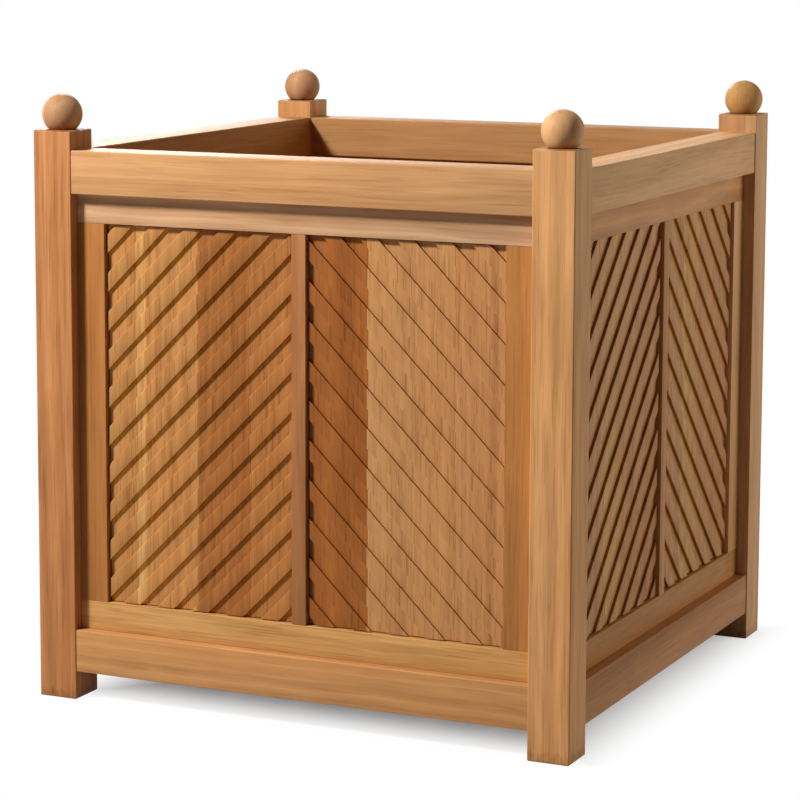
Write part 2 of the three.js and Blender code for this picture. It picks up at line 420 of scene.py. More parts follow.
class TeakGrain(ShaderEffect):
    """The figure of teak: growth rings round the heart, cloudy patches, streaks and open pores."""

    title = "Teak Grain"
    takes = (
        ("NodeSocketVector", "Timber", (0.0, 0.0, 0.0)),
        ("NodeSocketColor", "Shade", (0.5, 0.3, 0.15, 1.0)),
        ("NodeSocketFloat", "Tone", 1.0),
        ("NodeSocketFloat", "End Grain", 0.0),
        ("NodeSocketFloat", "Rings", 0.15),
        ("NodeSocketFloat", "Clouds", 0.15),
        ("NodeSocketFloat", "Streaks", 0.15),
        ("NodeSocketFloat", "Lines", 0.05),
    )
    gives = (
        ("NodeSocketColor", "Color"),
        ("NodeSocketFloat", "Pores"),
        ("NodeSocketFloat", "Height"),
    )
    ring_width = 10 * MM
    ring_detail = 2.2
    wander = 40 * MM
    ripple = 5 * MM
    pore_depth = 0.065
    end_grain_tone = 0.66
    # Features per metre, with the grain and across it
    wander_grain = (2.2, 8.0)
    ripple_grain = (11.0, 45.0)
    cloud_grain = (8.0, 42.0)
    streak_grain = (9.0, 360.0)
    flush_grain = (2.2, 15.0)
    pore_grain = (26.0, 760.0)
    line_grain = (13.0, 470.0)
    # How many finer noises lie over each noise
    cloud_detail = 2.5
    streak_detail = 2.5
    plain_detail = 1.0
    cloud_distortion = 0.6
    # Where in its noise a feature begins, and where it is in full
    pore_edge = (0.58, 0.72)
    line_edge = (0.58, 0.68)
    # Green and blue fall off faster than red in dark wood, and the flush shifts them most
    green_power = 1.22
    blue_power = 1.5
    green_flush = 0.10
    blue_flush = 0.22
    pore_relief = -0.7
    streak_relief = 0.5

    def rings(self, graph: Graph, timber: Socket) -> Socket:
        """Return the growth rings, which wander a little along the log.

        Args:
            graph: The group's tree.
            timber: The place in the log.

        Returns:
            The socket with the ring pattern, about 0.5.
        """
        drift = graph.swing(graph.noise(graph.stretched(timber, *self.wander_grain)), self.wander / 2)
        wobble = graph.swing(graph.noise(graph.stretched(timber, *self.ripple_grain)), self.ripple / 2)
        drift = graph.math("ADD", drift, wobble)
        _, side, depth = graph.split(timber)
        side_squared = graph.math("MULTIPLY", side, side)
        depth_squared = graph.math("MULTIPLY", depth, depth)
        from_heart = graph.math("SQRT", graph.math("ADD", side_squared, depth_squared))
        radius = graph.math("ADD", from_heart, drift)
        count = graph.math("DIVIDE", radius, self.ring_width)
        inputs = {"W": count, "Scale": 1.0, "Detail": self.ring_detail}
        return graph.add("ShaderNodeTexNoise", inputs, noise_dimensions="1D").outputs[0]

    def wire(self, graph: Graph, given: Wires) -> Wires:
        """Lay the rings, patches, streaks, dark lines and pores over the shade."""
        timber = given["Timber"]
        rings = self.rings(graph, timber)
        cloud_place = graph.stretched(timber, *self.cloud_grain)
        clouds = graph.noise(cloud_place, self.cloud_detail, self.cloud_distortion)
        streaks = graph.noise(graph.stretched(timber, *self.streak_grain), self.streak_detail)
        flush = graph.noise(graph.stretched(timber, *self.flush_grain), self.plain_detail)
        vessels = graph.noise(graph.stretched(timber, *self.pore_grain), self.plain_detail)
        pores = graph.ramp(vessels, *self.pore_edge)
        threads = graph.noise(graph.stretched(timber, *self.line_grain), self.plain_detail)
        lines = graph.ramp(threads, *self.line_edge)

        tone = graph.math("ADD", 1.0, graph.swing(rings, given["Rings"]))
        tone = graph.math("ADD", tone, graph.swing(clouds, given["Clouds"]))
        tone = graph.math("ADD", tone, graph.swing(streaks, given["Streaks"]))
        tone = graph.math("SUBTRACT", tone, graph.math("MULTIPLY", lines, given["Lines"]))
        tone = graph.math("SUBTRACT", tone, graph.math("MULTIPLY", pores, self.pore_depth))
        across = graph.math("MULTIPLY", given["End Grain"], self.end_grain_tone - 1.0)
        tone = graph.math("MULTIPLY", tone, graph.math("ADD", across, 1.0))
        tone = graph.math("MULTIPLY", tone, given["Tone"])

        # Darker wood is redder, and the flush shifts whole stretches between yellow and red.
        fallen_green = graph.math("POWER", tone, self.green_power)
        fallen_blue = graph.math("POWER", tone, self.blue_power)
        green = graph.math("ADD", fallen_green, graph.swing(flush, self.green_flush))
        blue = graph.math("ADD", fallen_blue, graph.swing(flush, self.blue_flush))
        stain = graph.join(tone, green, blue)
        colour = graph.blend(1.0, given["Shade"], stain, "MULTIPLY")
        ridges = graph.math("MULTIPLY", streaks, self.streak_relief)
        relief = graph.math("MULTIPLY_ADD", pores, self.pore_relief, ridges)
        return {"Color": colour, "Pores": pores, "Height": relief}


class ArrisWear(ShaderEffect):
    """Eased edges made lighter and smoother in uneven stretches: partly wear from handling, partly a painted
    highlight where the arrises catch the light.
    """

    title = "Arris Wear"
    takes = (
        ("NodeSocketColor", "Color", (0.5, 0.3, 0.15, 1.0)),
        ("NodeSocketFloat", "Roughness", 0.5),
        ("NodeSocketVector", "Timber", (0.0, 0.0, 0.0)),
        ("NodeSocketFloat", "Arris", 0.0),
        ("NodeSocketFloat", "Wear", 0.5),
    )
    gives = (("NodeSocketColor", "Color"), ("NodeSocketFloat", "Roughness"))
    patch_grain = (18.0, 40.0)  # features per metre, with the grain and across it
    patch_edge = (0.35, 0.65)
    least_wear = 0.3
    # Partly wear, partly painted highlight: the lightening of the arrises where they catch the light.
    rubbed_tint = (1.30, 1.36, 1.44, 1.0)
    polish = -0.10

    def wire(self, graph: Graph, given: Wires) -> Wires:
        """Lighten the masked edges with wear and painted highlight, and polish them."""
        uneven = graph.noise(graph.stretched(given["Timber"], *self.patch_grain))
        patches = graph.ramp(uneven, *self.patch_edge, self.least_wear, 1.0)
        mask = graph.math("MULTIPLY", given["Arris"], patches)
        mask = graph.math("MULTIPLY", mask, given["Wear"])
        rubbed_and_lit = graph.blend(1.0, given["Color"], self.rubbed_tint, "MULTIPLY")
        colour = graph.blend(mask, given["Color"], rubbed_and_lit)
        roughness = graph.math("MULTIPLY_ADD", mask, self.polish, given["Roughness"])
        return {"Color": colour, "Roughness": roughness}


class DampFoot(ShaderEffect):
    title = "Damp Foot"
    takes = (
        ("NodeSocketColor", "Color", (0.5, 0.3, 0.15, 1.0)),
        ("NodeSocketVector", "Place", (0.0, 0.0, 0.0)),
        ("NodeSocketFloat", "Rise", 0.03),
        ("NodeSocketFloat", "Stain", 0.6),
    )
    gives = (("NodeSocketColor", "Color"),)
    ragged_scale = (160.0, 160.0, 160.0)  # features per metre
    ragged_detail = 3.0
    raggedness = 0.9
    damp_tint = (0.62, 0.55, 0.50, 1.0)
    check_scale = (300.0, 300.0, 28.0)  # features per metre, few of them upwards
    check_edge = (0.60, 0.68)
    check_reach = (0.95, 0.35)  # shares of the rise where a check begins and where it is in full
    check_strength = 0.75
    check_colour = (0.035, 0.014, 0.005, 1.0)

    def wire(self, graph: Graph, given: Wires) -> Wires:
        """Darken what lies under a ragged line, and draw the checks up from the end."""
        _, _, height = graph.split(given["Place"])
        spread = graph.vector("MULTIPLY", given["Place"], self.ragged_scale)
        ragged = graph.noise(spread, self.ragged_detail)
        share = graph.math("DIVIDE", height, given["Rise"])
        level = graph.math("ADD", share, graph.swing(ragged, self.raggedness))
        mask = graph.math("MULTIPLY", graph.ramp(level, 1.0, 0.0), given["Stain"])
        stained = graph.blend(1.0, given["Color"], self.damp_tint, "MULTIPLY")
        damp = graph.blend(mask, given["Color"], stained)
        splits = graph.noise(graph.vector("MULTIPLY", given["Place"], self.check_scale))
        open_splits = graph.ramp(splits, *self.check_edge)
        checks = graph.math("MULTIPLY", open_splits, graph.ramp(share, *self.check_reach))
        dark = graph.math("MULTIPLY", checks, self.check_strength)
        return {"Color": graph.blend(dark, damp, self.check_colour)}


# ---------------------------------------------------------------------------
# Finishes
# ---------------------------------------------------------------------------


def new_material(name: str) -> tuple[bpy.types.Material, Graph, bpy.types.Node]:
    """Make a material that holds only a Principled BSDF and its output.

    Args:
        name: The material's name.

    Returns:
        The material, its graph and its Principled node.
    """
    material = bpy.data.materials.new(name)
    material.use_nodes = True
    material.node_tree.nodes.clear()
    graph = Graph(material.node_tree)
    shader = graph.add("ShaderNodeBsdfPrincipled")
    output = graph.add("ShaderNodeOutputMaterial")
    graph.feed(output.inputs["Surface"], shader.outputs["BSDF"])
    return material, graph, shader


@dataclass(frozen=True)
class TeakFinish:
    """Oiled teak of one shade and figure: its gloss, its pores' depth, and how much its edges are lightened,
    partly by wear and partly by painted highlight.
    """

    name: str
    shade: Shade
    figure: Figure = Figure.STRAIGHT
    roughness: float = 0.50
    pore_roughness: float = 0.14
    specular: float = 0.12
    relief: float = 0.10 * MM
    # Lightening of the eased edges: partly wear, partly painted highlight.
    wear: float = 0.12
    damp_rise: float = 0.0

    def shade_of(self, graph: Graph) -> object:
        """Return what feeds the grain's shade: here one colour."""
        return self.shade.linear

    def place_in_log(self, graph: Graph) -> Socket:
        """Return the socket with the place in the log."""
        return graph.attribute(TIMBER).outputs["Vector"]

    def tone_of(self, graph: Graph) -> Socket:
        """Return the socket with the board's tone."""
        return graph.attribute(TONE).outputs["Fac"]

    def material(self) -> bpy.types.Material:
        """Return the finish as a material, and build it on the first call."""
        made = bpy.data.materials.get(self.name)
        if made is not None:
            return made
        made, graph, shader = new_material(self.name)
        rings, clouds, streaks, lines = self.figure.value
        timber = self.place_in_log(graph)
        grain = TeakGrain().place(
            graph, Timber=timber, Shade=self.shade_of(graph), Tone=self.tone_of(graph),
            End_Grain=graph.attribute(END_GRAIN).outputs["Fac"],
            Rings=rings, Clouds=clouds, Streaks=streaks, Lines=lines,
        )
        colour = grain.outputs["Color"]
        if self.damp_rise:
            place = graph.add("ShaderNodeTexCoord").outputs["Object"]
            damp = DampFoot().place(graph, Color=colour, Place=place, Rise=self.damp_rise)
            colour = damp.outputs["Color"]
        pores = grain.outputs["Pores"]
        roughness = graph.math("MULTIPLY_ADD", pores, self.pore_roughness, self.roughness)
        # Wear and painted highlight on the eased arrises.
        worn_and_lit = ArrisWear().place(
            graph, Color=colour, Roughness=roughness, Timber=timber,
            Arris=graph.attribute(ARRIS).outputs["Fac"], Wear=self.wear,
        )
        bump = graph.add("ShaderNodeBump", {"Distance": self.relief, "Height": grain.outputs["Height"]})
        graph.feed(shader.inputs["Base Color"], worn_and_lit.outputs["Color"])
        graph.feed(shader.inputs["Roughness"], worn_and_lit.outputs["Roughness"])
        graph.feed(shader.inputs["Normal"], bump.outputs["Normal"])
        shader.inputs["Specular IOR Level"].default_value = self.specular
        return made


@dataclass(frozen=True)
class Stave:
    """One upright board of a glued-up panel: where its left edge lies across the panel, and its shade."""

    left: float
    shade: Shade


@dataclass(frozen=True)
class StavedFinish(TeakFinish):
    """Oiled teak of a panel that is glued up from staves of several shades."""

    staves: tuple[Stave, ...] = ()
    # On the panels the bands' arrises get a strong lightening: a painted highlight line, with some wear.
    wear: float = 0.90
    log_step: tuple[float, float, float] = (4.7, 0.31, 0.17)
    ground_tone: float = 0.02
    # Painted shade: how far the warm tint reaches up the ground from each band's lower wall, where the
    # band's shadow falls.
    groove_reach: float = 0.20  # share of the bands' pitch
    groove_glow: Glow = Glow.NONE
    seam_half_width: float = 0.0024  # share of the panel's width
    seam_depth: float = 0.28

    def by_stave(self, graph: Graph, colours: Iterable[tuple[float, ...]]) -> Socket:
        """Return a colour that changes at each glue line.

        Args:
            graph: The material's tree.
            colours: One colour for each stave.

        Returns:
            The socket with the colour.
        """
        node = graph.add("ShaderNodeValToRGB", {"Fac": graph.attribute(ACROSS).outputs["Fac"]})
        ramp = node.color_ramp
        ramp.interpolation = "CONSTANT"
        ready = len(ramp.elements)
        for number, (stave, colour) in enumerate(zip(self.staves, colours)):
            stop = ramp.elements[number] if number < ready else ramp.elements.new(stave.left)
            stop.position = stave.left
            stop.color = colour
        return node.outputs["Color"]

    def shade_of(self, graph: Graph) -> Socket:
        """Return each stave's own shade, with painted warm shade on the ground under each band's lower wall,
        where the band's shadow falls.
        """
        shade = self.by_stave(graph, [stave.shade.linear for stave in self.staves])
        if self.groove_glow is Glow.NONE:
            return shade
        # Painted shade: the ground next to each band's lower edge, where the band casts its shadow, is
        # tinted warm.
        pitches = graph.attribute(BAND_COUNT).outputs["Fac"]
        apart = graph.math("ABSOLUTE", graph.math("SUBTRACT", pitches, graph.math("ROUND", pitches)))
        near = graph.ramp(apart, self.groove_reach, 0.0)
        painted_shade_mask = graph.math("MULTIPLY", near, graph.attribute(GROUND).outputs["Fac"])
        warm_shade = graph.blend(1.0, shade, self.groove_glow.value, "MULTIPLY")
        return graph.blend(painted_shade_mask, shade, warm_shade)

    def place_in_log(self, graph: Graph) -> Socket:
        """Return the place in the log, with each stave from a log of its own."""
        count = len(self.staves)
        numbers = [(number / count, number / count, number / count, 1.0) for number in range(count)]
        offset = graph.vector("MULTIPLY", self.by_stave(graph, numbers), self.log_step)
        return graph.vector("ADD", graph.attribute(TIMBER).outputs["Vector"], offset)

    def tone_of(self, graph: Graph) -> Socket:
        """Return the board's tone, with the painted shade of the gaps, a little lighter on the milled ground
        and darker in the glue lines.
        """
        fresh = graph.math("MULTIPLY", graph.attribute(GROUND).outputs["Fac"], self.ground_tone)
        tone = graph.math("ADD", graph.attribute(TONE).outputs["Fac"], fresh)
        across = graph.attribute(ACROSS).outputs["Fac"]
        for stave in self.staves[1:]:
            apart = graph.math("ABSOLUTE", graph.math("SUBTRACT", across, stave.left))
            seam = graph.ramp(apart, self.seam_half_width, 0.0, 0.0, self.seam_depth)
            tone = graph.math("SUBTRACT", tone, seam)
        return tone


@dataclass(frozen=True)
class SteelFinish:
    """Plain steel with fine turning marks and a dull bloom."""

    name: str
    colour: tuple[float, float, float, float] = (0.50, 0.50, 0.48, 1.0)
    bloom: tuple[float, float, float, float] = (0.30, 0.27, 0.23, 1.0)
    bloom_scale: tuple[float, float, float] = (420.0, 420.0, 420.0)
    bloom_detail: float = 3.0
    bloom_edge: tuple[float, float] = (0.45, 0.75)
    mark_scale: tuple[float, float, float] = (5200.0, 900.0, 900.0)
    mark_detail: float = 1.0
    mark_edge: tuple[float, float] = (0.3, 0.7)
    mark_depth: float = 0.02 * MM
    roughness: tuple[float, float] = (0.28, 0.48)

    def material(self) -> bpy.types.Material:
        """Return the finish as a material, and build it on the first call."""
        made = bpy.data.materials.get(self.name)
        if made is not None:
            return made
        made, graph, shader = new_material(self.name)
        place = graph.add("ShaderNodeTexCoord").outputs["Object"]
        patches = graph.noise(graph.vector("MULTIPLY", place, self.bloom_scale), self.bloom_detail)
        marks = graph.noise(graph.vector("MULTIPLY", place, self.mark_scale), self.mark_detail)
        bloomed = graph.ramp(patches, *self.bloom_edge)
        graph.feed(shader.inputs["Base Color"], graph.blend(bloomed, self.colour, self.bloom))
        graph.feed(shader.inputs["Roughness"], graph.ramp(marks, *self.mark_edge, *self.roughness))
        bump = graph.add("ShaderNodeBump", {"Distance": self.mark_depth, "Height": marks})
        graph.feed(shader.inputs["Normal"], bump.outputs["Normal"])
        shader.inputs["Metallic"].default_value = 1.0
        return made


# ---------------------------------------------------------------------------
# Meshes
# ---------------------------------------------------------------------------


def link(name: str, mesh: bpy.types.Mesh) -> bpy.types.Object:
    """Put a mesh in the scene, unturned and at the origin.

    Args:
        name: The object's name.
        mesh: Its mesh.

    Returns:
        The new object.
    """
    piece = bpy.data.objects.new(name, mesh)
    bpy.context.scene.collection.objects.link(piece)
    return piece


def settled(piece: bpy.types.Object) -> bpy.types.Mesh:
    """Take an object's finished mesh, and remove the object with its modifiers.

    Args:
        piece: An object with modifiers.

    Returns:
        The plain mesh that the modifiers gave.
    """
    graph = bpy.context.evaluated_depsgraph_get()
    shaped = piece.evaluated_get(graph)
    mesh = bpy.data.meshes.new_from_object(shaped, preserve_all_data_layers=True, depsgraph=graph)
    bpy.data.objects.remove(piece)
    return mesh


def joined_up(source: bpy.types.Mesh) -> bpy.types.Mesh:
    """Copy a mesh of loose triangles as one closed surface with whole flat faces.

    Args:
        source: The mesh, which stays as it is.

    Returns:
        The new mesh.
    """
    same_point = 0.01 * MM
    same_plane = math.radians(0.5)
    body = bmesh.new()
    body.from_mesh(source)
    bmesh.ops.remove_doubles(body, verts=body.verts, dist=same_point)
    bmesh.ops.dissolve_limit(body, angle_limit=same_plane, verts=body.verts, edges=body.edges)
    mesh = bpy.data.meshes.new(source.name)
    body.to_mesh(mesh)
    body.free()
    return mesh


def eased(mesh: bpy.types.Mesh, grain: Grain, radius: float, end_share: float = 0.5) -> bpy.types.Mesh:
    """Round a board's arrises, less at its shoulders and ends than along its length.

    Args:
        mesh: The board with sharp arrises.
        grain: The way that it runs.
        radius: The rounding along the grain.
        end_share: The rounding across the grain, as a share of the radius.

    Returns:
        The eased mesh, with normals that keep its flats flat.
    """
    shortest = 6 * MM
    least_corner = math.radians(40)
    along_cosine = 0.99
    steps = 3
    body = bmesh.new()
    body.from_mesh(mesh)
    weights = body.edges.layers.float.new("bevel_weight_edge")
    for edge in body.edges:
        run = edge.verts[1].co - edge.verts[0].co
        corner = edge.is_convex and edge.calc_face_angle() > least_corner
        if corner and run.length > shortest:
            edge[weights] = 1.0 if abs(run.normalized()[grain.along]) > along_cosine else end_share
    for face in body.faces:
        face.smooth = True
    body.to_mesh(mesh)
    body.free()
    board = link(f"{mesh.name}_easing", mesh)
    bevel = board.modifiers.new("Easing", "BEVEL")
    bevel.limit_method = "WEIGHT"
    bevel.width = radius
    bevel.segments = steps
    bevel.use_clamp_overlap = False
    bevel.harden_normals = True
    return settled(board)


def write_attribute(mesh: bpy.types.Mesh, name: str, kind: str, domain: str, values: list[float]) -> None:
    """Store numbers on a mesh.

    Args:
        mesh: The mesh.
        name: The attribute's name.
        kind: FLOAT or FLOAT_VECTOR.
        domain: POINT or FACE.
        values: The numbers, flat.
    """
    if name in mesh.attributes:
        mesh.attributes.remove(mesh.attributes[name])
    layer = mesh.attributes.new(name, kind, domain)
    layer.data.foreach_set("vector" if kind == "FLOAT_VECTOR" else "value", values)


@dataclass
class Log:
    """The log that a board was sawn from: where its heart lies from the board's middle."""

    seed: str
    nearest_heart: float = 70 * MM
    farthest_heart: float = 190 * MM
    shortest_way: float = 1.0  # metres up the log
    longest_way: float = 9.0
    tone_spread: float = 0.035
    end_cosine: float = 0.7  # a face this far turned to the grain shows end grain
    flat_cosine: float = 0.999  # a face less square to every axis is an eased arris
    number: Random = field(init=False)

    def __post_init__(self) -> None:
        """Start the log's own random numbers."""
        self.number = Random(self.seed)

    def mark(
        self, mesh: bpy.types.Mesh, grain: Grain, ways: Callable[[Vector], float] | None = None,
    ) -> None:
        """Store each point's place in the log, the end grain, the arrises and the board's tone.

        Args:
            mesh: The board.
            grain: The way that it runs.
            ways: How far along the log the board at a point was sawn, where a mesh holds several.
        """
        lows = [min(v.co[axis] for v in mesh.vertices) for axis in grain.value]
        highs = [max(v.co[axis] for v in mesh.vertices) for axis in grain.value]
        middle = [(low + high) / 2 for low, high in zip(lows, highs)]
        angle = self.number.uniform(0, 2 * math.pi)
        reach = self.number.uniform(self.nearest_heart, self.farthest_heart)
        way = self.number.uniform(self.shortest_way, self.longest_way)
        heart = (way, reach * math.cos(angle), reach * math.sin(angle))
        places = []
        for vertex in mesh.vertices:
            place = [vertex.co[axis] - mid + off for axis, mid, off in zip(grain.value, middle, heart)]
            place[0] += ways(vertex.co) if ways else 0.0
            places.extend(place)
        write_attribute(mesh, TIMBER, "FLOAT_VECTOR", "POINT", places)
        normals = [face.normal for face in mesh.polygons]
        ends = [1.0 if abs(normal[grain.along]) > self.end_cosine else 0.0 for normal in normals]
        write_attribute(mesh, END_GRAIN, "FLOAT", "FACE", ends)
        tone = 1 + self.number.uniform(-self.tone_spread, self.tone_spread)
        write_attribute(mesh, TONE, "FLOAT", "FACE", [tone] * len(normals))
        rounded = [1.0 if max(map(abs, normal)) < self.flat_cosine else 0.0 for normal in normals]
        write_attribute(mesh, ARRIS, "FLOAT", "FACE", rounded)


def hand_over(piece: bpy.types.Object, nodes: Iterable[str]) -> None:
    """Let a finished piece stand for its nodes of the frame.

    Args:
        piece: The piece.
        nodes: The nodes that it stands for.
    """
    names = list(nodes)
    if names:
        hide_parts(*names)
    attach(piece, BODY)
    stands_for = ", ".join(names) or "nothing"
    log.info("%-28s %6d faces, for %s", piece.name, len(piece.data.polygons), stands_for)


@dataclass
class Board:
    """One sawn member, with the joinery of its node and eased arrises."""

    node: str
    grain: Grain
    finish: TeakFinish
    slot: str
    arris: float = 1.1 * MM
    end_share: float = 0.5

    def build(self) -> bpy.types.Object:
        """Make the board and let it stand for its node.

        Returns:
            The board.
        """
        mesh = eased(joined_up(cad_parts[self.node].data), self.grain, self.arris, self.end_share)
        Log(self.node).mark(mesh, self.grain)
        mesh.materials.clear()
        mesh.materials.append(self.finish.material())
        piece = link(f"teak_{self.node}", mesh)
        hand_over(piece, [self.node])
        return piece


# ---------------------------------------------------------------------------
# Posts and finials
# ---------------------------------------------------------------------------


@dataclass
class BallFinial:
    """A ball turned with the grain upright, on a flat seat, with a spigot under it."""

    node: str
    finish: TeakFinish
    around: int = 72
    ball_steps: int = 40
    seat_easing: float = 0.6 * MM
    spigot_radius: float = 6 * MM
    spigot_length: float = 20 * MM
    crease: float = math.radians(40)

    def profile(self, radius: float, seat_drop: float) -> list[tuple[float, float]]:
        """Return the turned outline.

        Args:
            radius: The ball's radius.
            seat_drop: How far the seat lies under the ball's centre.

        Returns:
            Points of radius and height over the seat, from the spigot's foot to the crown.
        """
        start = math.asin(-seat_drop / radius)
        seat_radius = radius * math.cos(start)
        outline = [
            (self.spigot_radius - self.seat_easing, -self.spigot_length),
            (self.spigot_radius, self.seat_easing - self.spigot_length),
            (self.spigot_radius, 0.0),
            (seat_radius - self.seat_easing, 0.0),
        ]
        for step in range(1, self.ball_steps):
            angle = start + (math.pi / 2 - start) * step / self.ball_steps
            outline.append((radius * math.cos(angle), seat_drop + radius * math.sin(angle)))
        return outline

    def turned(self, outline: list[tuple[float, float]], crown: float, axis: Vector) -> bpy.types.Mesh:
        """Turn an outline about an upright axis and close both ends.

        Args:
            outline: Points of radius and height.
            crown: The height of the top.
            axis: The axis's foot, at the seat's height.

        Returns:
            The turned mesh.
        """
        body = bmesh.new()
        rings = []
        for radius, height in outline:
            turns = [2 * math.pi * number / self.around for number in range(self.around)]
            spots = [(radius * math.cos(turn), radius * math.sin(turn), height) for turn in turns]
            rings.append([body.verts.new(axis + Vector(spot)) for spot in spots])
        foot = body.verts.new(axis + Vector((0, 0, outline[0][1])))
        top = body.verts.new(axis + Vector((0, 0, crown)))
        for number in range(self.around):
            after = (number + 1) % self.around
            body.faces.new((foot, rings[0][after], rings[0][number]))
            body.faces.new((rings[-1][number], rings[-1][after], top))
            for lower, upper in zip(rings, rings[1:]):
                body.faces.new((lower[number], lower[after], upper[after], upper[number]))
        for face in body.faces:
            face.smooth = True
        mesh = bpy.data.meshes.new(self.node)
        body.to_mesh(mesh)
        body.free()
        return mesh

    def build(self) -> bpy.types.Object:
        """Make the finial and let it stand for its node.

        Returns:
            The finial.
        """
        low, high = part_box(self.node)
        radius = (high.x - low.x) / 2
        seat = low.z + self.spigot_length
        crown = high.z - seat
        axis = Vector(((low.x + high.x) / 2, (low.y + high.y) / 2, seat))
        mesh = self.turned(self.profile(radius, crown - radius), crown, axis)
        Log(self.node).mark(mesh, Grain.Z)
        plain = [0.0] * len(mesh.polygons)
        write_attribute(mesh, ARRIS, "FLOAT", "FACE", plain)
        write_attribute(mesh, END_GRAIN, "FLOAT", "FACE", plain)
        mesh.set_sharp_from_angle(angle=self.crease)
        mesh.materials.append(self.finish.material())
        piece = link(f"teak_{self.node}", mesh)
        hand_over(piece, [self.node])
        return piece


@dataclass
class CornerPost:
    """A corner post and the ball finial on it."""

    corner: str
    post_finish: TeakFinish
    ball_finish: TeakFinish
    post_arris: float = 1.3 * MM
    post_end_share: float = 0.3

    def build(self) -> None:
        """Make the post and its finial."""
        post = Board(f"{self.corner}_post", Grain.Z, self.post_finish, "teak_post")
        post.arris, post.end_share = self.post_arris, self.post_end_share
        post.build()
        BallFinial(f"{self.corner}_finial", self.ball_finish).build()


# ---------------------------------------------------------------------------
# Sides
# ---------------------------------------------------------------------------


class GeometryRecipe:
    """A Geometry Nodes tree with named inputs, built once and grown for each piece it makes."""

    title = ""
    takes: tuple[tuple[str, str], ...] = ()
    easing_steps = 3

    def wire(self, graph: Graph, given: Wires) -> Socket:
        """Add the tree's own nodes.

        Args:
            graph: The tree.
            given: The tree's inputs, by name.

        Returns:
            The socket with the geometry.
        """
        raise NotImplementedError

    def tree(self) -> bpy.types.NodeTree:
        """Return the tree, and build it on the first call."""
        made = bpy.data.node_groups.get(self.title)
        if made is not None:
            return made
        made = bpy.data.node_groups.new(self.title, "GeometryNodeTree")
        made.interface.new_socket("Geometry", in_out="OUTPUT", socket_type="NodeSocketGeometry")
        for kind, name in (*self.takes, ("NodeSocketMaterial", "Finish")):
            made.interface.new_socket(name, in_out="INPUT", socket_type=kind)
        graph = Graph(made)
        given = {socket.name: socket for socket in graph.add("NodeGroupInput").outputs}
        real = graph.add("GeometryNodeRealizeInstances", {"Geometry": self.wire(graph, given)})
        inputs = {"Geometry": real.outputs[0], "Material": given["Finish"]}
        dressed = graph.add("GeometryNodeSetMaterial", inputs)
        graph.feed(graph.add("NodeGroupOutput").inputs[0], dressed.outputs[0])
        return made

    def grow(self, name: str, **inputs: object) -> bpy.types.Mesh:
        """Run the tree.

        Args:
            name: The mesh's name.
            inputs: The tree's inputs, by name with _ for each space.

        Returns:
            The plain mesh that the tree gave.
        """
        piece = link(f"{name}_growing", bpy.data.meshes.new(name))
        modifier = piece.modifiers.new(self.title, "NODES")
        modifier.node_group = self.tree()
        for item in modifier.node_group.interface.items_tree:
            key = item.name.replace(" ", "_")
            if item.in_out == "INPUT" and key in inputs:
                modifier[item.identifier] = inputs[key]
        mesh = settled(piece)
        mesh.name = name
        return mesh

    def bar(self, graph: Graph, size: Wires, arris: Socket, line: tuple[Socket, Socket]) -> Socket:
        """Return a straight bar with four eased arrises.

        Args:
            graph: The tree.
            size: Its section, as Width and Height.
            arris: The rounding.
            line: Where it starts and ends.

        Returns:
            The socket with the bar.
        """
        section = graph.add("GeometryNodeCurvePrimitiveQuadrilateral", size).outputs[0]
        corners = graph.add("GeometryNodeFilletCurve", {"Curve": section, "Radius": arris}, mode="POLY")
        graph.feed(corners.inputs["Count"], self.easing_steps)
        path = graph.add("GeometryNodeCurvePrimitiveLine", {"Start": line[0], "End": line[1]}).outputs[0]
        inputs = {"Curve": path, "Profile Curve": corners.outputs[0], "Fill Caps": True}
        return graph.add("GeometryNodeCurveToMesh", inputs).outputs[0]

    def block(self, graph: Graph, low: Socket, high: Socket) -> Socket:
        """Return a block between two opposite corners.

        Args:
            graph: The tree.
            low: The lowest corner.
            high: The highest corner.

        Returns:
            The socket with the block.
        """
        size = graph.vector("SUBTRACT", high, low)
        middle = graph.vector("MULTIPLY", graph.vector("ADD", low, high), (0.5, 0.5, 0.5))
        cube = graph.add("GeometryNodeMeshCube", {"Size": size}).outputs[0]
        return graph.add("GeometryNodeTransform", {"Geometry": cube, "Translation": middle}).outputs[0]

    def carve(self, graph: Graph, how: str, first: Socket, others: Iterable[Socket]) -> Socket:
        """Join solids, keep what they share, or cut the others from the first.

        Args:
            graph: The tree.
            how: UNION, INTERSECT or DIFFERENCE.
            first: The first solid.
            others: The other solids.

        Returns:
            The socket with the result.
        """
        node = graph.add("GeometryNodeMeshBoolean", operation=how, solver="EXACT")
        graph.feed(node.inputs[0 if how == "DIFFERENCE" else 1], first)
        for other in others:
            graph.feed(node.inputs[1], other)
        return node.outputs[0]


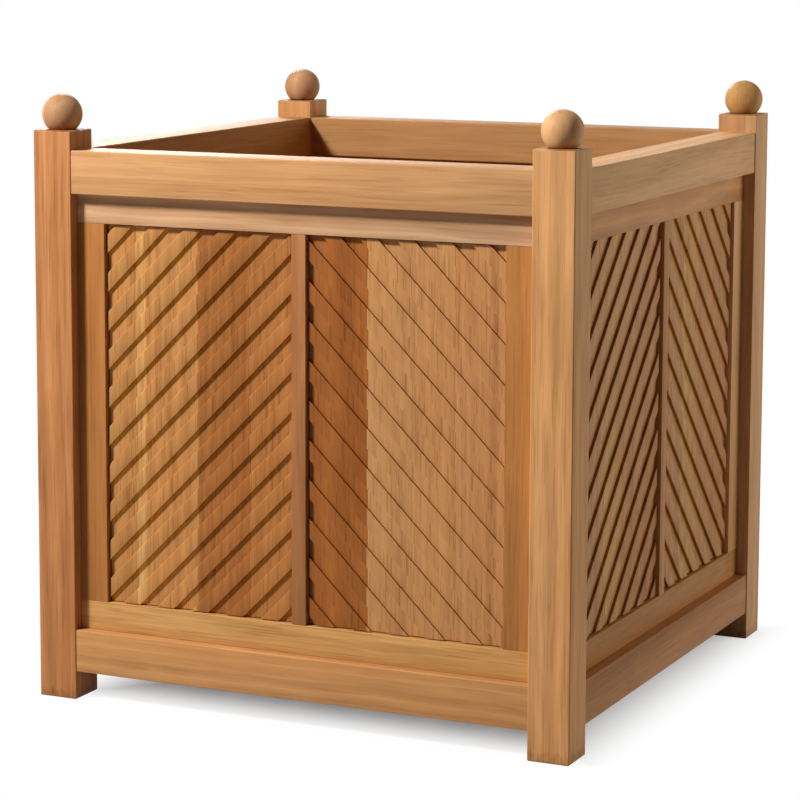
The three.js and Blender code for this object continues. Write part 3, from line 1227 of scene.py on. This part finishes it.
class ChevronRelief(GeometryRecipe):
    """A panel with parallel slanting bands milled in its face, and a tongue round it."""

    title = "Chevron Relief"
    takes = (
        ("NodeSocketVector", "Field Low"),
        ("NodeSocketVector", "Field High"),
        ("NodeSocketVector", "Plate Low"),
        ("NodeSocketVector", "Plate High"),
        ("NodeSocketVector", "Tongue Low"),
        ("NodeSocketVector", "Tongue High"),
        ("NodeSocketVector", "Band Foot"),
        ("NodeSocketVector", "Band Step"),
        ("NodeSocketFloat", "Lean"),
        ("NodeSocketInt", "Band Count"),
        ("NodeSocketFloat", "Band Width"),
        ("NodeSocketFloat", "Band Depth"),
        ("NodeSocketFloat", "Band Length"),
        ("NodeSocketFloat", "Arris"),
    )

    def wire(self, graph: Graph, given: Wires) -> Socket:
        """Lay the bands in a row, trim them to the field and join them to the plate."""
        half = graph.math("MULTIPLY", given["Band Length"], 0.5)
        ends = (graph.join(graph.math("MULTIPLY", half, -1.0), 0.0, 0.0), graph.join(half, 0.0, 0.0))
        section = {"Width": given["Band Depth"], "Height": given["Band Width"]}
        band = self.bar(graph, section, given["Arris"], ends)
        line = {
            "Count": given["Band Count"], "Start Location": given["Band Foot"], "Offset": given["Band Step"],
        }
        row = graph.add("GeometryNodeMeshLine", line).outputs[0]
        turn = graph.join(0.0, graph.math("MULTIPLY", given["Lean"], -1.0), 0.0)
        inputs = {"Points": row, "Instance": band, "Rotation": turn}
        placed = graph.add("GeometryNodeInstanceOnPoints", inputs).outputs[0]
        bands = graph.add("GeometryNodeRealizeInstances", {"Geometry": placed}).outputs[0]
        field_block = self.block(graph, given["Field Low"], given["Field High"])
        trimmed = self.carve(graph, "INTERSECT", bands, [field_block])
        plate = self.block(graph, given["Plate Low"], given["Plate High"])
        tongue = self.block(graph, given["Tongue Low"], given["Tongue High"])
        return self.carve(graph, "UNION", plate, [trimmed, tongue])


@dataclass
class ChevronPanel:
    """One milled panel, drawn on the front side and turned to its own."""

    side: Side
    hand: Hand
    band_start: float
    finish: StavedFinish
    band_pitch: float = 28.5 * MM
    band_width: float = 14.2 * MM
    lean: float = math.radians(45)
    relief: float = 3.2 * MM
    tongue_reach: float = 3.5 * MM
    side_gap: float = 1.4 * MM
    end_gap: float = 1 * MM
    tongue_setback: float = 8.3 * MM
    tongue_thickness: float = 6.4 * MM
    root: float = 2 * MM
    arris: float = 0.5 * MM
    # Painted shade: the factor on the tone of the tongues in the gaps beside the field.
    gap_tone: float = 0.18
    wall_cosine: float = 0.05  # a face less turned to the front is a band's wall
    flat_cosine: float = 0.999  # a face more turned to the front is flat
    slack: float = 0.2 * MM
    crease: float = math.radians(35)

    @property
    def node(self) -> str:
        """The panel's node in the frame."""
        return f"{self.side.word}_{self.hand.word}_panel"

    @property
    def slant(self) -> float:
        """The bands' lean, turned the way of this hand."""
        return self.lean * self.hand.value

    @property
    def across(self) -> Vector:
        """The way from one band up to the next, on the front side."""
        return Vector((-math.sin(self.slant), 0, math.cos(self.slant)))

    def first_foot(self, low: Vector, high: Vector) -> Vector:
        """Return where the lower edge of the first band meets the mullion.

        Args:
            low: The panel's lowest corner on the front side.
            high: Its highest corner.

        Returns:
            The place, half way through the band's thickness.
        """
        mullion_edge = high.x - self.tongue_reach if self.hand is Hand.LEFT else low.x + self.tongue_reach
        depth = low.y + (self.relief + self.root) / 2
        return Vector((mullion_edge, depth, low.z + self.tongue_reach + self.band_start))

    def local_box(self) -> tuple[Vector, Vector]:
        """Return the node's box as it would stand on the front side."""
        back = self.side.turn.inverted()
        corners = [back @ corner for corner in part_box(self.node)]
        return Vector(map(min, *corners)), Vector(map(max, *corners))

    def band_row(self, low: Vector, high: Vector) -> tuple[Vector, int]:
        """Return the row of bands that covers the whole panel.

        Args:
            low: The panel's lowest corner on the front side.
            high: Its highest corner.

        Returns:
            The middle of the lowest band, and how many bands there are.
        """
        along = Vector((math.cos(self.slant), 0, math.sin(self.slant)))
        foot = self.first_foot(low, high)
        corners = [Vector((x, foot.y, z)) for x in (low.x, high.x) for z in (low.z, high.z)]
        offsets = [(corner - foot).dot(self.across) for corner in corners]
        first = math.floor(min(offsets) / self.band_pitch)
        count = math.ceil(max(offsets) / self.band_pitch) - first + 1
        slide = sum((corner - foot).dot(along) for corner in corners) / len(corners)
        rise = first * self.band_pitch + self.band_width / 2
        return foot + (self.across * rise + along * slide), count

    def grown(self) -> bpy.types.Mesh:
        """Run the recipe with this panel's sizes.

        Returns:
            The panel's mesh on the front side.
        """
        low, high = self.local_box()
        side, end = self.side_gap + self.tongue_reach, self.end_gap + self.tongue_reach
        plate_low = Vector((low.x + side, low.y + self.relief, low.z + end))
        plate_high = Vector((high.x - side, high.y, high.z - end))
        field_low = Vector((plate_low.x, low.y, plate_low.z))
        field_high = Vector((plate_high.x, plate_low.y + self.root / 2, plate_high.z))
        tongue_front = low.y + self.tongue_setback
        foot, count = self.band_row(low, high)
        return ChevronRelief().grow(
            self.node, Field_Low=field_low, Field_High=field_high, Plate_Low=plate_low,
            Plate_High=plate_high, Tongue_Low=Vector((low.x, tongue_front, low.z)),
            Tongue_High=Vector((high.x, tongue_front + self.tongue_thickness, high.z)),
            Band_Foot=foot, Band_Step=self.across * self.band_pitch, Lean=self.slant, Band_Count=count,
            Band_Width=self.band_width, Band_Depth=self.relief + self.root,
            Band_Length=2 * (high - low).length, Arris=self.arris, Finish=self.finish.material(),
        )

    def mark(self, mesh: bpy.types.Mesh) -> None:
        """Store what the finish reads, while the panel is still on the front side.

        Args:
            mesh: The panel's mesh.
        """
        low, high = self.local_box()
        Log(self.node).mark(mesh, Grain.Z)
        width = high.x - low.x
        shares = [(vertex.co.x - low.x) / width for vertex in mesh.vertices]
        write_attribute(mesh, ACROSS, "FLOAT", "POINT", shares)
        facing = [-face.normal.y for face in mesh.polygons]
        rounded = [1.0 if self.wall_cosine < out < self.flat_cosine else 0.0 for out in facing]
        write_attribute(mesh, ARRIS, "FLOAT", "FACE", rounded)
        # The tongues and what else lies in the gaps beside the field get painted shade: their tone is cut
        # far down.
        hidden = self.tongue_reach + self.side_gap - self.slack
        insets = [min(face.center.x - low.x, high.x - face.center.x) for face in mesh.polygons]
        tones = mesh.attributes[TONE].data
        for number, inset in enumerate(insets):
            tones[number].value *= self.gap_tone if inset < hidden else 1.0
        # The ground and the bands' walls lie behind the bands' faces and before the panel's back.
        nearest, farthest = low.y + self.arris, low.y + self.relief + self.arris
        fresh = [1.0 if nearest < face.center.y < farthest else 0.0 for face in mesh.polygons]
        write_attribute(mesh, GROUND, "FLOAT", "FACE", fresh)
        foot = self.first_foot(low, high)
        pitches = [(vertex.co - foot).dot(self.across) / self.band_pitch for vertex in mesh.vertices]
        write_attribute(mesh, BAND_COUNT, "FLOAT", "POINT", pitches)

    def build(self) -> bpy.types.Object:
        """Make the panel and let it stand for its node.

        Returns:
            The panel.
        """
        mesh = self.grown()
        self.mark(mesh)
        mesh.transform(self.side.turn)
        for face in mesh.polygons:
            face.use_smooth = True
        mesh.set_sharp_from_angle(angle=self.crease)
        piece = link(f"teak_{self.node}", mesh)
        hand_over(piece, [self.node])
        return piece


@dataclass
class SideFinishes:
    """The boards picked for one side."""

    top_rail: TeakFinish
    bottom_rail: TeakFinish
    frame_top_rail: TeakFinish
    frame_bottom_rail: TeakFinish
    left_stile: TeakFinish
    right_stile: TeakFinish
    mullion: TeakFinish
    left_panel: StavedFinish
    right_panel: StavedFinish


@dataclass
class PlanterSide:
    """One side: two thick rails, and between them a frame with a mullion and two panels."""

    side: Side
    finishes: SideFinishes
    band_starts: dict[Hand, float]
    rail_arris: float = 1.2 * MM
    frame_arris: float = 0.7 * MM

    def build(self) -> None:
        """Make the side's nine pieces."""
        word = self.side.word
        for part in ("top_rail", "bottom_rail"):
            finish = getattr(self.finishes, part)
            Board(f"{word}_{part}", self.side.grain, finish, "teak_rail", self.rail_arris).build()
        for part in ("frame_top_rail", "frame_bottom_rail"):
            finish = getattr(self.finishes, part)
            Board(f"{word}_{part}", self.side.grain, finish, "teak_frame", self.frame_arris).build()
        for part in ("left_stile", "right_stile", "mullion"):
            finish = getattr(self.finishes, part)
            Board(f"{word}_{part}", Grain.Z, finish, "teak_frame", self.frame_arris).build()
        for hand in Hand:
            finish = getattr(self.finishes, f"{hand.word}_panel")
            ChevronPanel(self.side, hand, self.band_starts[hand], finish).build()


# ---------------------------------------------------------------------------
# Floor
# ---------------------------------------------------------------------------


class SlatRow(GeometryRecipe):
    """A row of floor slats, with a sunk hole over every screw."""

    title = "Slat Row"
    takes = (
        ("NodeSocketInt", "Count"),
        ("NodeSocketVector", "First Middle"),
        ("NodeSocketVector", "Step"),
        ("NodeSocketVector", "Slat Size"),
        ("NodeSocketFloat", "Arris"),
        ("NodeSocketVector", "Screw Spread"),
        ("NodeSocketInt", "Screw Rows"),
        ("NodeSocketFloat", "Hole Radius"),
        ("NodeSocketFloat", "Hole Depth"),
    )
    sides = 20

    def screw_places(self, graph: Graph, given: Wires) -> Socket:
        """Return a point at the middle of each slat's upper face over every screw.

        Args:
            graph: The tree.
            given: The tree's inputs.

        Returns:
            The socket with the points.
        """
        x, y, _ = graph.split(given["Screw Spread"])
        size = {"Size X": x, "Size Y": y, "Vertices X": 2, "Vertices Y": given["Screw Rows"]}
        pattern = graph.add("GeometryNodeMeshGrid", size).outputs[0]
        row = {"Points": self.middles(graph, given), "Instance": pattern}
        placed = graph.add("GeometryNodeInstanceOnPoints", row).outputs[0]
        spots = graph.add("GeometryNodeRealizeInstances", {"Geometry": placed}).outputs[0]
        _, _, thickness = graph.split(given["Slat Size"])
        rise = graph.join(0.0, 0.0, graph.math("MULTIPLY", thickness, 0.5))
        return graph.add("GeometryNodeTransform", {"Geometry": spots, "Translation": rise}).outputs[0]

    def middles(self, graph: Graph, given: Wires) -> Socket:
        """Return a point at the middle of every slat."""
        line = {"Count": given["Count"], "Start Location": given["First Middle"], "Offset": given["Step"]}
        return graph.add("GeometryNodeMeshLine", line).outputs[0]

    def wire(self, graph: Graph, given: Wires) -> Socket:
        """Lay the slats in a row and sink the screw holes."""
        width, length, thickness = graph.split(given["Slat Size"])
        half = graph.math("MULTIPLY", length, 0.5)
        ends = (graph.join(0.0, graph.math("MULTIPLY", half, -1.0), 0.0), graph.join(0.0, half, 0.0))
        slat = self.bar(graph, {"Width": width, "Height": thickness}, given["Arris"], ends)
        row = {"Points": self.middles(graph, given), "Instance": slat}
        slats = graph.add("GeometryNodeInstanceOnPoints", row).outputs[0]
        slats = graph.add("GeometryNodeRealizeInstances", {"Geometry": slats}).outputs[0]
        # The drill's middle is on the slat's face, so it goes half of its length in.
        reach = graph.math("MULTIPLY", given["Hole Depth"], 2.0)
        drill = {"Vertices": self.sides, "Radius": given["Hole Radius"], "Depth": reach}
        rod = graph.add("GeometryNodeMeshCylinder", drill).outputs[0]
        holes = {"Points": self.screw_places(graph, given), "Instance": rod}
        drilled = graph.add("GeometryNodeInstanceOnPoints", holes).outputs[0]
        drilled = graph.add("GeometryNodeRealizeInstances", {"Geometry": drilled}).outputs[0]
        return self.carve(graph, "DIFFERENCE", slats, [drilled])


class ScrewRow(SlatRow):
    """A countersunk screw with a cross recess in each of the slats' sunk holes."""

    title = "Screw Row"
    takes = (
        *SlatRow.takes,
        ("NodeSocketFloat", "Head Radius"),
        ("NodeSocketFloat", "Shank Radius"),
        ("NodeSocketFloat", "Screw Length"),
    )
    head_height = 2.4 * MM
    recess = (4.6 * MM, 1.0 * MM, 0.8 * MM)
    sink_share = 0.3  # of the hole's depth
    shank_start = 0.9  # share of the head's height, so that the shank starts inside the head

    def wire(self, graph: Graph, given: Wires) -> Socket:
        """Make one screw and set it in every hole."""
        head = {
            "Vertices": self.sides, "Radius Top": given["Head Radius"],
            "Radius Bottom": given["Shank Radius"], "Depth": self.head_height,
        }
        cone = graph.add("GeometryNodeMeshCone", head).outputs[0]
        lowered = {"Geometry": cone, "Translation": (0, 0, -self.head_height)}
        cone = graph.add("GeometryNodeTransform", lowered).outputs[0]
        long, narrow, deep = self.recess
        slots = [
            graph.add("GeometryNodeMeshCube", {"Size": size}).outputs[0]
            for size in ((long, narrow, deep), (narrow, long, deep))
        ]
        crossed = self.carve(graph, "DIFFERENCE", cone, slots)
        shank = {"Vertices": self.sides, "Radius": given["Shank Radius"], "Depth": given["Screw Length"]}
        rod = graph.add("GeometryNodeMeshCylinder", shank).outputs[0]
        start = -self.head_height * self.shank_start
        down = graph.math("MULTIPLY_ADD", given["Screw Length"], -0.5, start)
        hung = {"Geometry": rod, "Translation": graph.join(0.0, 0.0, down)}
        rod = graph.add("GeometryNodeTransform", hung).outputs[0]
        screw = self.carve(graph, "UNION", crossed, [rod])
        sink = graph.join(0.0, 0.0, graph.math("MULTIPLY", given["Hole Depth"], -self.sink_share))
        sunk = graph.add("GeometryNodeTransform", {"Geometry": screw, "Translation": sink}).outputs[0]
        places = {"Points": self.screw_places(graph, given), "Instance": sunk}
        return graph.add("GeometryNodeInstanceOnPoints", places).outputs[0]


@dataclass
class SlattedFloor:
    """Two cleats and a bearer, and the slats that are screwed down on them."""

    finish: TeakFinish
    steel: SteelFinish
    slat_arris: float = 1.5 * MM
    cleat_arris: float = 1.2 * MM
    screw_inset: float = 13 * MM
    screw_rows: int = 3
    hole_radius: float = 4.4 * MM
    hole_depth: float = 0.7 * MM
    head_radius: float = 4.0 * MM
    shank_radius: float = 1.9 * MM
    screw_length: float = 30 * MM
    log_spacing: float = 3.3
    crease: float = math.radians(35)

    def slat_nodes(self) -> list[str]:
        """Return the slats' nodes, from left to right."""
        names = [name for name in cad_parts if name.startswith("floor_slat_")]
        return sorted(names, key=lambda name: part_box(name)[0].x)

    def build(self) -> None:
        """Make the cleats, the bearer, the slats and their screws."""
        for node in ("front_cleat", "back_cleat", "floor_bearer"):
            Board(node, Grain.X, self.finish, "teak_floor", self.cleat_arris).build()
        nodes = self.slat_nodes()
        low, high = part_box(nodes[0])
        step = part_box(nodes[1])[0] - low
        size = high - low
        spread = Vector((size.x / 2, size.y - 2 * self.screw_inset, 0))
        shared = {
            "Count": len(nodes), "First_Middle": (low + high) / 2, "Step": step, "Slat_Size": size,
            "Arris": self.slat_arris, "Screw_Spread": spread, "Screw_Rows": self.screw_rows,
            "Hole_Radius": self.hole_radius, "Hole_Depth": self.hole_depth,
        }
        slats = SlatRow().grow("floor_slats", Finish=self.finish.material(), **shared)


        def up_the_log(place: Vector) -> float:
            """Return how far up the log the slat at a place was sawn."""
            return self.log_spacing * round((place.x - low.x) // step.x)

        Log("floor_slats").mark(slats, Grain.Y, up_the_log)
        for face in slats.polygons:
            face.use_smooth = True
        slats.set_sharp_from_angle(angle=self.crease)
        hand_over(link("teak_floor_slats", slats), nodes)
        screws = ScrewRow().grow(
            "floor_screws", Finish=self.steel.material(), Head_Radius=self.head_radius,
            Shank_Radius=self.shank_radius, Screw_Length=self.screw_length, **shared,
        )
        hand_over(link("floor_screws", screws), [])


# ---------------------------------------------------------------------------
# Studio
# ---------------------------------------------------------------------------


@dataclass(frozen=True)
class SoftBox:
    """A square soft light that looks at the middle of the planter."""

    name: str
    azimuth: float
    elevation: float
    distance: float
    side: float
    power: float
    colour: tuple[float, float, float] = (1.0, 1.0, 1.0)

    def hang(self, target: Vector) -> None:
        """Put the light in the scene.

        Args:
            target: What it looks at.
        """
        turn, rise = math.radians(self.azimuth), math.radians(self.elevation)
        back = Vector((math.sin(turn) * math.cos(rise), -math.cos(turn) * math.cos(rise), math.sin(rise)))
        lamp = bpy.data.lights.new(self.name, "AREA")
        lamp.shape = "SQUARE"
        lamp.size = self.side
        lamp.energy = self.power
        lamp.color = self.colour
        stand = bpy.data.objects.new(self.name, lamp)
        stand.location = target + back * self.distance
        stand.rotation_euler = (-back).to_track_quat("-Z", "Y").to_euler()
        bpy.context.scene.collection.objects.link(stand)


@dataclass(frozen=True)
class StudioCamera:
    """The camera, fitted to the photograph's frame of 800 by 800 pixels."""

    place: tuple[float, float, float] = (1.2771, -2.8295, 0.8152)
    yaw: float = 25.676
    pitch: float = 7.542
    roll: float = 0.063
    focal_pixels: float = 2868.8
    principal_x: float = 347.7
    principal_y: float = 300.0
    frame_pixels: float = 800.0
    sensor: float = 36.0

    def set_up(self) -> None:
        """Put the camera in the scene and make it the scene's own."""
        turn, fall, lean = (math.radians(angle) for angle in (self.yaw, self.pitch, self.roll))
        back = Vector((math.sin(turn) * math.cos(fall), -math.cos(turn) * math.cos(fall), math.sin(fall)))
        level = (-back).cross(Vector((0, 0, 1))).normalized()
        upright = level.cross(-back)
        right = math.cos(lean) * level + math.sin(lean) * upright
        up = math.cos(lean) * upright - math.sin(lean) * level
        lens = bpy.data.cameras.new("Studio Camera")
        lens.sensor_width = self.sensor
        lens.lens = self.sensor * self.focal_pixels / self.frame_pixels
        lens.shift_x = (self.frame_pixels / 2 - self.principal_x) / self.frame_pixels
        lens.shift_y = (self.principal_y - self.frame_pixels / 2) / self.frame_pixels
        lens.dof.use_dof = False
        camera = bpy.data.objects.new("Studio Camera", lens)
        pose = Matrix((right, up, back)).transposed().to_4x4()
        pose.translation = Vector(self.place)
        camera.matrix_world = pose
        bpy.context.scene.collection.objects.link(camera)
        bpy.context.scene.camera = camera


def seen_by_rays(graph: Graph) -> Socket:
    """Return 1 on the rays that show the surround: from the camera, in a gloss or through glass.

    Args:
        graph: The tree of a material or a world.

    Returns:
        The socket with 1 on those rays and 0 on the others.
    """
    path = graph.add("ShaderNodeLightPath").outputs
    rays = graph.math("ADD", path["Is Camera Ray"], path["Is Glossy Ray"])
    both = graph.math("ADD", rays, path["Is Transmission Ray"])
    return graph.math("MINIMUM", both, 1.0)


@dataclass
class StudioFloor:
    """A pale floor that shows the planter's shadow close round its foot, and is white further out."""

    footprint: float
    side: float = 16.0
    colour: tuple[float, float, float, float] = (0.80, 0.80, 0.80, 1.0)
    returned: tuple[float, float, float, float] = (0.48, 0.48, 0.48, 1.0)
    shadow_lift: float = 0.20
    drift: tuple[float, float, float] = (0.017, 0.017, 0.0)
    fade_start: float = -0.095
    fade_end: float = 0.025
    lift_start: float = -0.170
    lift_end: float = -0.100

    def outside(self, graph: Graph) -> Socket:
        """Return how far a point lies outside the footprint, and less than 0 inside it.

        Args:
            graph: The material's tree.

        Returns:
            The socket with the distance.
        """
        place = graph.add("ShaderNodeTexCoord").outputs["Object"]
        moved = graph.vector("ABSOLUTE", graph.vector("SUBTRACT", place, self.drift), (0.0, 0.0, 0.0))
        half = self.footprint / 2
        x, y, _ = graph.split(graph.vector("SUBTRACT", moved, (half, half, 0.0)))
        squares = [graph.math("POWER", graph.math("MAXIMUM", part, 0.0), 2.0) for part in (x, y)]
        beyond = graph.math("SQRT", graph.math("ADD", *squares))
        within = graph.math("MINIMUM", graph.math("MAXIMUM", x, y), 0.0)
        return graph.math("ADD", beyond, within)

    def mixed(self, graph: Graph, factor: Socket, first: Socket, second: Socket) -> Socket:
        """Return a mix of two shaders, with the second's share as the factor."""
        node = graph.add("ShaderNodeMixShader")
        for target, source in zip(node.inputs, (factor, first, second)):
            graph.feed(target, source)
        return node.outputs[0]

    def material(self) -> bpy.types.Material:
        """Return the floor's material."""
        made = bpy.data.materials.new("Studio Floor")
        made.use_nodes = True
        made.node_tree.nodes.clear()
        graph = Graph(made.node_tree)
        pale = graph.add("ShaderNodeBsdfDiffuse", {"Color": self.colour}).outputs[0]
        dull = graph.add("ShaderNodeBsdfDiffuse", {"Color": self.returned}).outputs[0]
        outside = self.outside(graph)
        strength = graph.ramp(outside, self.lift_start, self.lift_end, 0.0, self.shadow_lift)
        lift = graph.add("ShaderNodeEmission", {"Strength": strength}).outputs[0]
        shaded = graph.add("ShaderNodeAddShader")
        graph.feed(shaded.inputs[0], pale)
        graph.feed(shaded.inputs[1], lift)
        white = graph.add("ShaderNodeEmission", {"Strength": 1.0}).outputs[0]
        fade = graph.ramp(outside, self.fade_start, self.fade_end)
        shown = self.mixed(graph, fade, shaded.outputs[0], white)
        floor = self.mixed(graph, seen_by_rays(graph), dull, shown)
        output = graph.add("ShaderNodeOutputMaterial")
        graph.feed(output.inputs["Surface"], floor)
        return made

    def lay(self) -> None:
        """Lay the floor under the planter."""
        half = self.side / 2
        mesh = bpy.data.meshes.new("studio_floor")
        corners = [(-half, -half, 0), (half, -half, 0), (half, half, 0), (-half, half, 0)]
        mesh.from_pydata(corners, [], [(0, 1, 2, 3)])
        mesh.materials.append(self.material())
        link("studio_floor", mesh)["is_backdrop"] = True


@dataclass
class Studio:
    """A pale floor, a white surround, soft lights and the camera."""

    lights: tuple[SoftBox, ...]
    surround: float
    floor: StudioFloor
    camera: StudioCamera = StudioCamera()

    def light_world(self) -> None:
        """Give the world its plain light, and white where it is seen."""
        world = bpy.data.worlds.new("Studio Surround")
        world.use_nodes = True
        world.node_tree.nodes.clear()
        graph = Graph(world.node_tree)
        strength = graph.math("MULTIPLY_ADD", seen_by_rays(graph), 1.0 - self.surround, self.surround)
        glow = graph.add("ShaderNodeBackground", {"Color": (1.0, 1.0, 1.0, 1.0), "Strength": strength})
        output = graph.add("ShaderNodeOutputWorld")
        graph.feed(output.inputs["Surface"], glow.outputs[0])
        bpy.context.scene.world = world

    def build(self, target: Vector) -> None:
        """Set the whole studio up.

        Args:
            target: What the lights look at.
        """
        self.light_world()
        self.floor.lay()
        for light in self.lights:
            light.hang(target)
        self.camera.set_up()
        bpy.context.scene.view_settings.view_transform = "Standard"


# ---------------------------------------------------------------------------
# The planter
# ---------------------------------------------------------------------------


@dataclass
class Planter:
    """The whole planter, and the boards that were picked for it."""

    front_starts: dict[Hand, float] = field(
        default_factory=lambda: {Hand.LEFT: 18 * MM, Hand.RIGHT: 12 * MM})
    side_starts: dict[Hand, float] = field(
        default_factory=lambda: {Hand.LEFT: 0 * MM, Hand.RIGHT: 26 * MM})

    @staticmethod
    def teak(shade: Shade, figure: Figure, **changes: object) -> TeakFinish:
        """Return a finish named after its shade and figure.

        Args:
            shade: The shade.
            figure: The figure.
            changes: Other values of the finish.

        Returns:
            The finish.
        """
        foot = " leg" if changes.get("damp_rise") else ""
        name = f"Teak {shade.name.lower()} {figure.name.lower()}{foot}"
        return TeakFinish(name, shade, figure, **changes)

    @staticmethod
    def staves(name: str, *picked: tuple[float, Shade], glow: Glow = Glow.NONE) -> StavedFinish:
        """Return a glued-up panel's finish.

        Args:
            name: The finish's name.
            picked: Where each stave starts, as a share of the panel's width, and its shade.
            glow: How warm the painted shade is in the grooves under each band.

        Returns:
            The finish.
        """
        boards = tuple(Stave(left, shade) for left, shade in picked)
        return StavedFinish(name, boards[0].shade, Figure.STRIPED, staves=boards, groove_glow=glow)

    def posts(self) -> list[CornerPost]:
        """Return the four corner posts."""
        leg = {"damp_rise": 14 * MM}
        picked = {
            "front_left": (Shade.SIENNA, Figure.COARSE, Shade.ROSE),
            "front_right": (Shade.WHEAT, Figure.COARSE, Shade.CREAM),
            "back_right": (Shade.HONEY, Figure.STRAIGHT, Shade.GOLD),
            "back_left": (Shade.STRAW, Figure.FLAME, Shade.ROSE),
        }
        return [
            CornerPost(corner, self.teak(shade, figure, **leg), self.teak(ball, Figure.CLOUDY))
            for corner, (shade, figure, ball) in picked.items()
        ]

    def sides(self) -> list[PlanterSide]:
        """Return the four sides with the boards picked for each."""
        pale = self.teak(Shade.PALE, Figure.FLAME)
        honey = self.teak(Shade.HONEY, Figure.STRAIGHT)
        fawn = self.teak(Shade.FAWN, Figure.FLAME)
        cream = self.teak(Shade.CREAM, Figure.STRAIGHT)
        straw = self.teak(Shade.STRAW, Figure.FLAME)
        gold = self.teak(Shade.GOLD, Figure.COARSE)
        amber = self.teak(Shade.AMBER, Figure.FLAME)
        ochre = self.teak(Shade.OCHRE, Figure.STRAIGHT)
        tawny = self.teak(Shade.TAWNY, Figure.COARSE)
        clay = self.teak(Shade.CLAY, Figure.STRAIGHT)
        umber = self.teak(Shade.UMBER, Figure.CLOUDY)
        # The front left panel's grooves get warm painted shade, and the even panels' grooves a mild one.
        gold_and_red = self.staves(
            "Panel gold and red", (0.0, Shade.OCHRE), (0.165, Shade.GOLD), (0.215, Shade.OCHRE),
            (0.49, Shade.CHESTNUT), (0.76, Shade.CLAY), glow=Glow.WARM,
        )
        red_and_tan = self.staves(
            "Panel red and tan", (0.0, Shade.RUSSET), (0.31, Shade.STRAW), (0.53, Shade.STRAW),
            (0.74, Shade.AMBER),
        )
        even = self.staves(
            "Panel even", (0.0, Shade.STRAW), (0.26, Shade.GOLD), (0.50, Shade.STRAW), (0.76, Shade.AMBER),
            glow=Glow.MILD,
        )
        mixed = self.staves(
            "Panel mixed", (0.0, Shade.AMBER), (0.22, Shade.TAWNY), (0.45, Shade.STRAW),
            (0.66, Shade.OCHRE), (0.86, Shade.GOLD),
        )
        front = SideFinishes(honey, straw, pale, gold, clay, tawny, umber, gold_and_red, red_and_tan)
        right = SideFinishes(cream, tawny, straw, ochre, amber, cream, ochre, even, even)
        back = SideFinishes(fawn, amber, gold, honey, ochre, clay, tawny, mixed, even)
        left = SideFinishes(ochre, honey, pale, straw, tawny, amber, gold, even, mixed)
        return [
            PlanterSide(Side.FRONT, front, self.front_starts),
            PlanterSide(Side.RIGHT, right, self.side_starts),
            PlanterSide(Side.BACK, back, self.front_starts),
            PlanterSide(Side.LEFT, left, self.side_starts),
        ]

    def build(self) -> None:
        """Make every piece of the planter."""
        for post in self.posts():
            post.build()
        for side in self.sides():
            side.build()
        boards = self.teak(Shade.PALE, Figure.STRAIGHT, roughness=0.62)
        SlattedFloor(boards, SteelFinish("Screw steel")).build()


def main() -> None:
    """Build the planter and its studio."""
    logging.basicConfig(level=logging.INFO, format="%(message)s")
    cad_low, cad_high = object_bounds()
    Planter().build()
    warm, cool = (1.0, 0.95, 0.78), (0.85, 0.95, 1.0)
    lights = (
        SoftBox("Key", azimuth=-38, elevation=38, distance=2.4, side=0.30, power=67),
        SoftBox("Right Card", azimuth=125, elevation=5, distance=2.4, side=1.4, power=22, colour=warm),
        SoftBox("Back Card", azimuth=218, elevation=30, distance=2.6, side=0.5, power=27),
        SoftBox("Top Card", azimuth=0, elevation=88, distance=2.6, side=0.9, power=5.5, colour=cool),
    )
    floor = StudioFloor(footprint=cad_high.x - cad_low.x)
    studio = Studio(lights, surround=0.012, floor=floor)
    studio.build(target=(cad_low + cad_high) / 2)


if __name__ == "__main__":
    main()
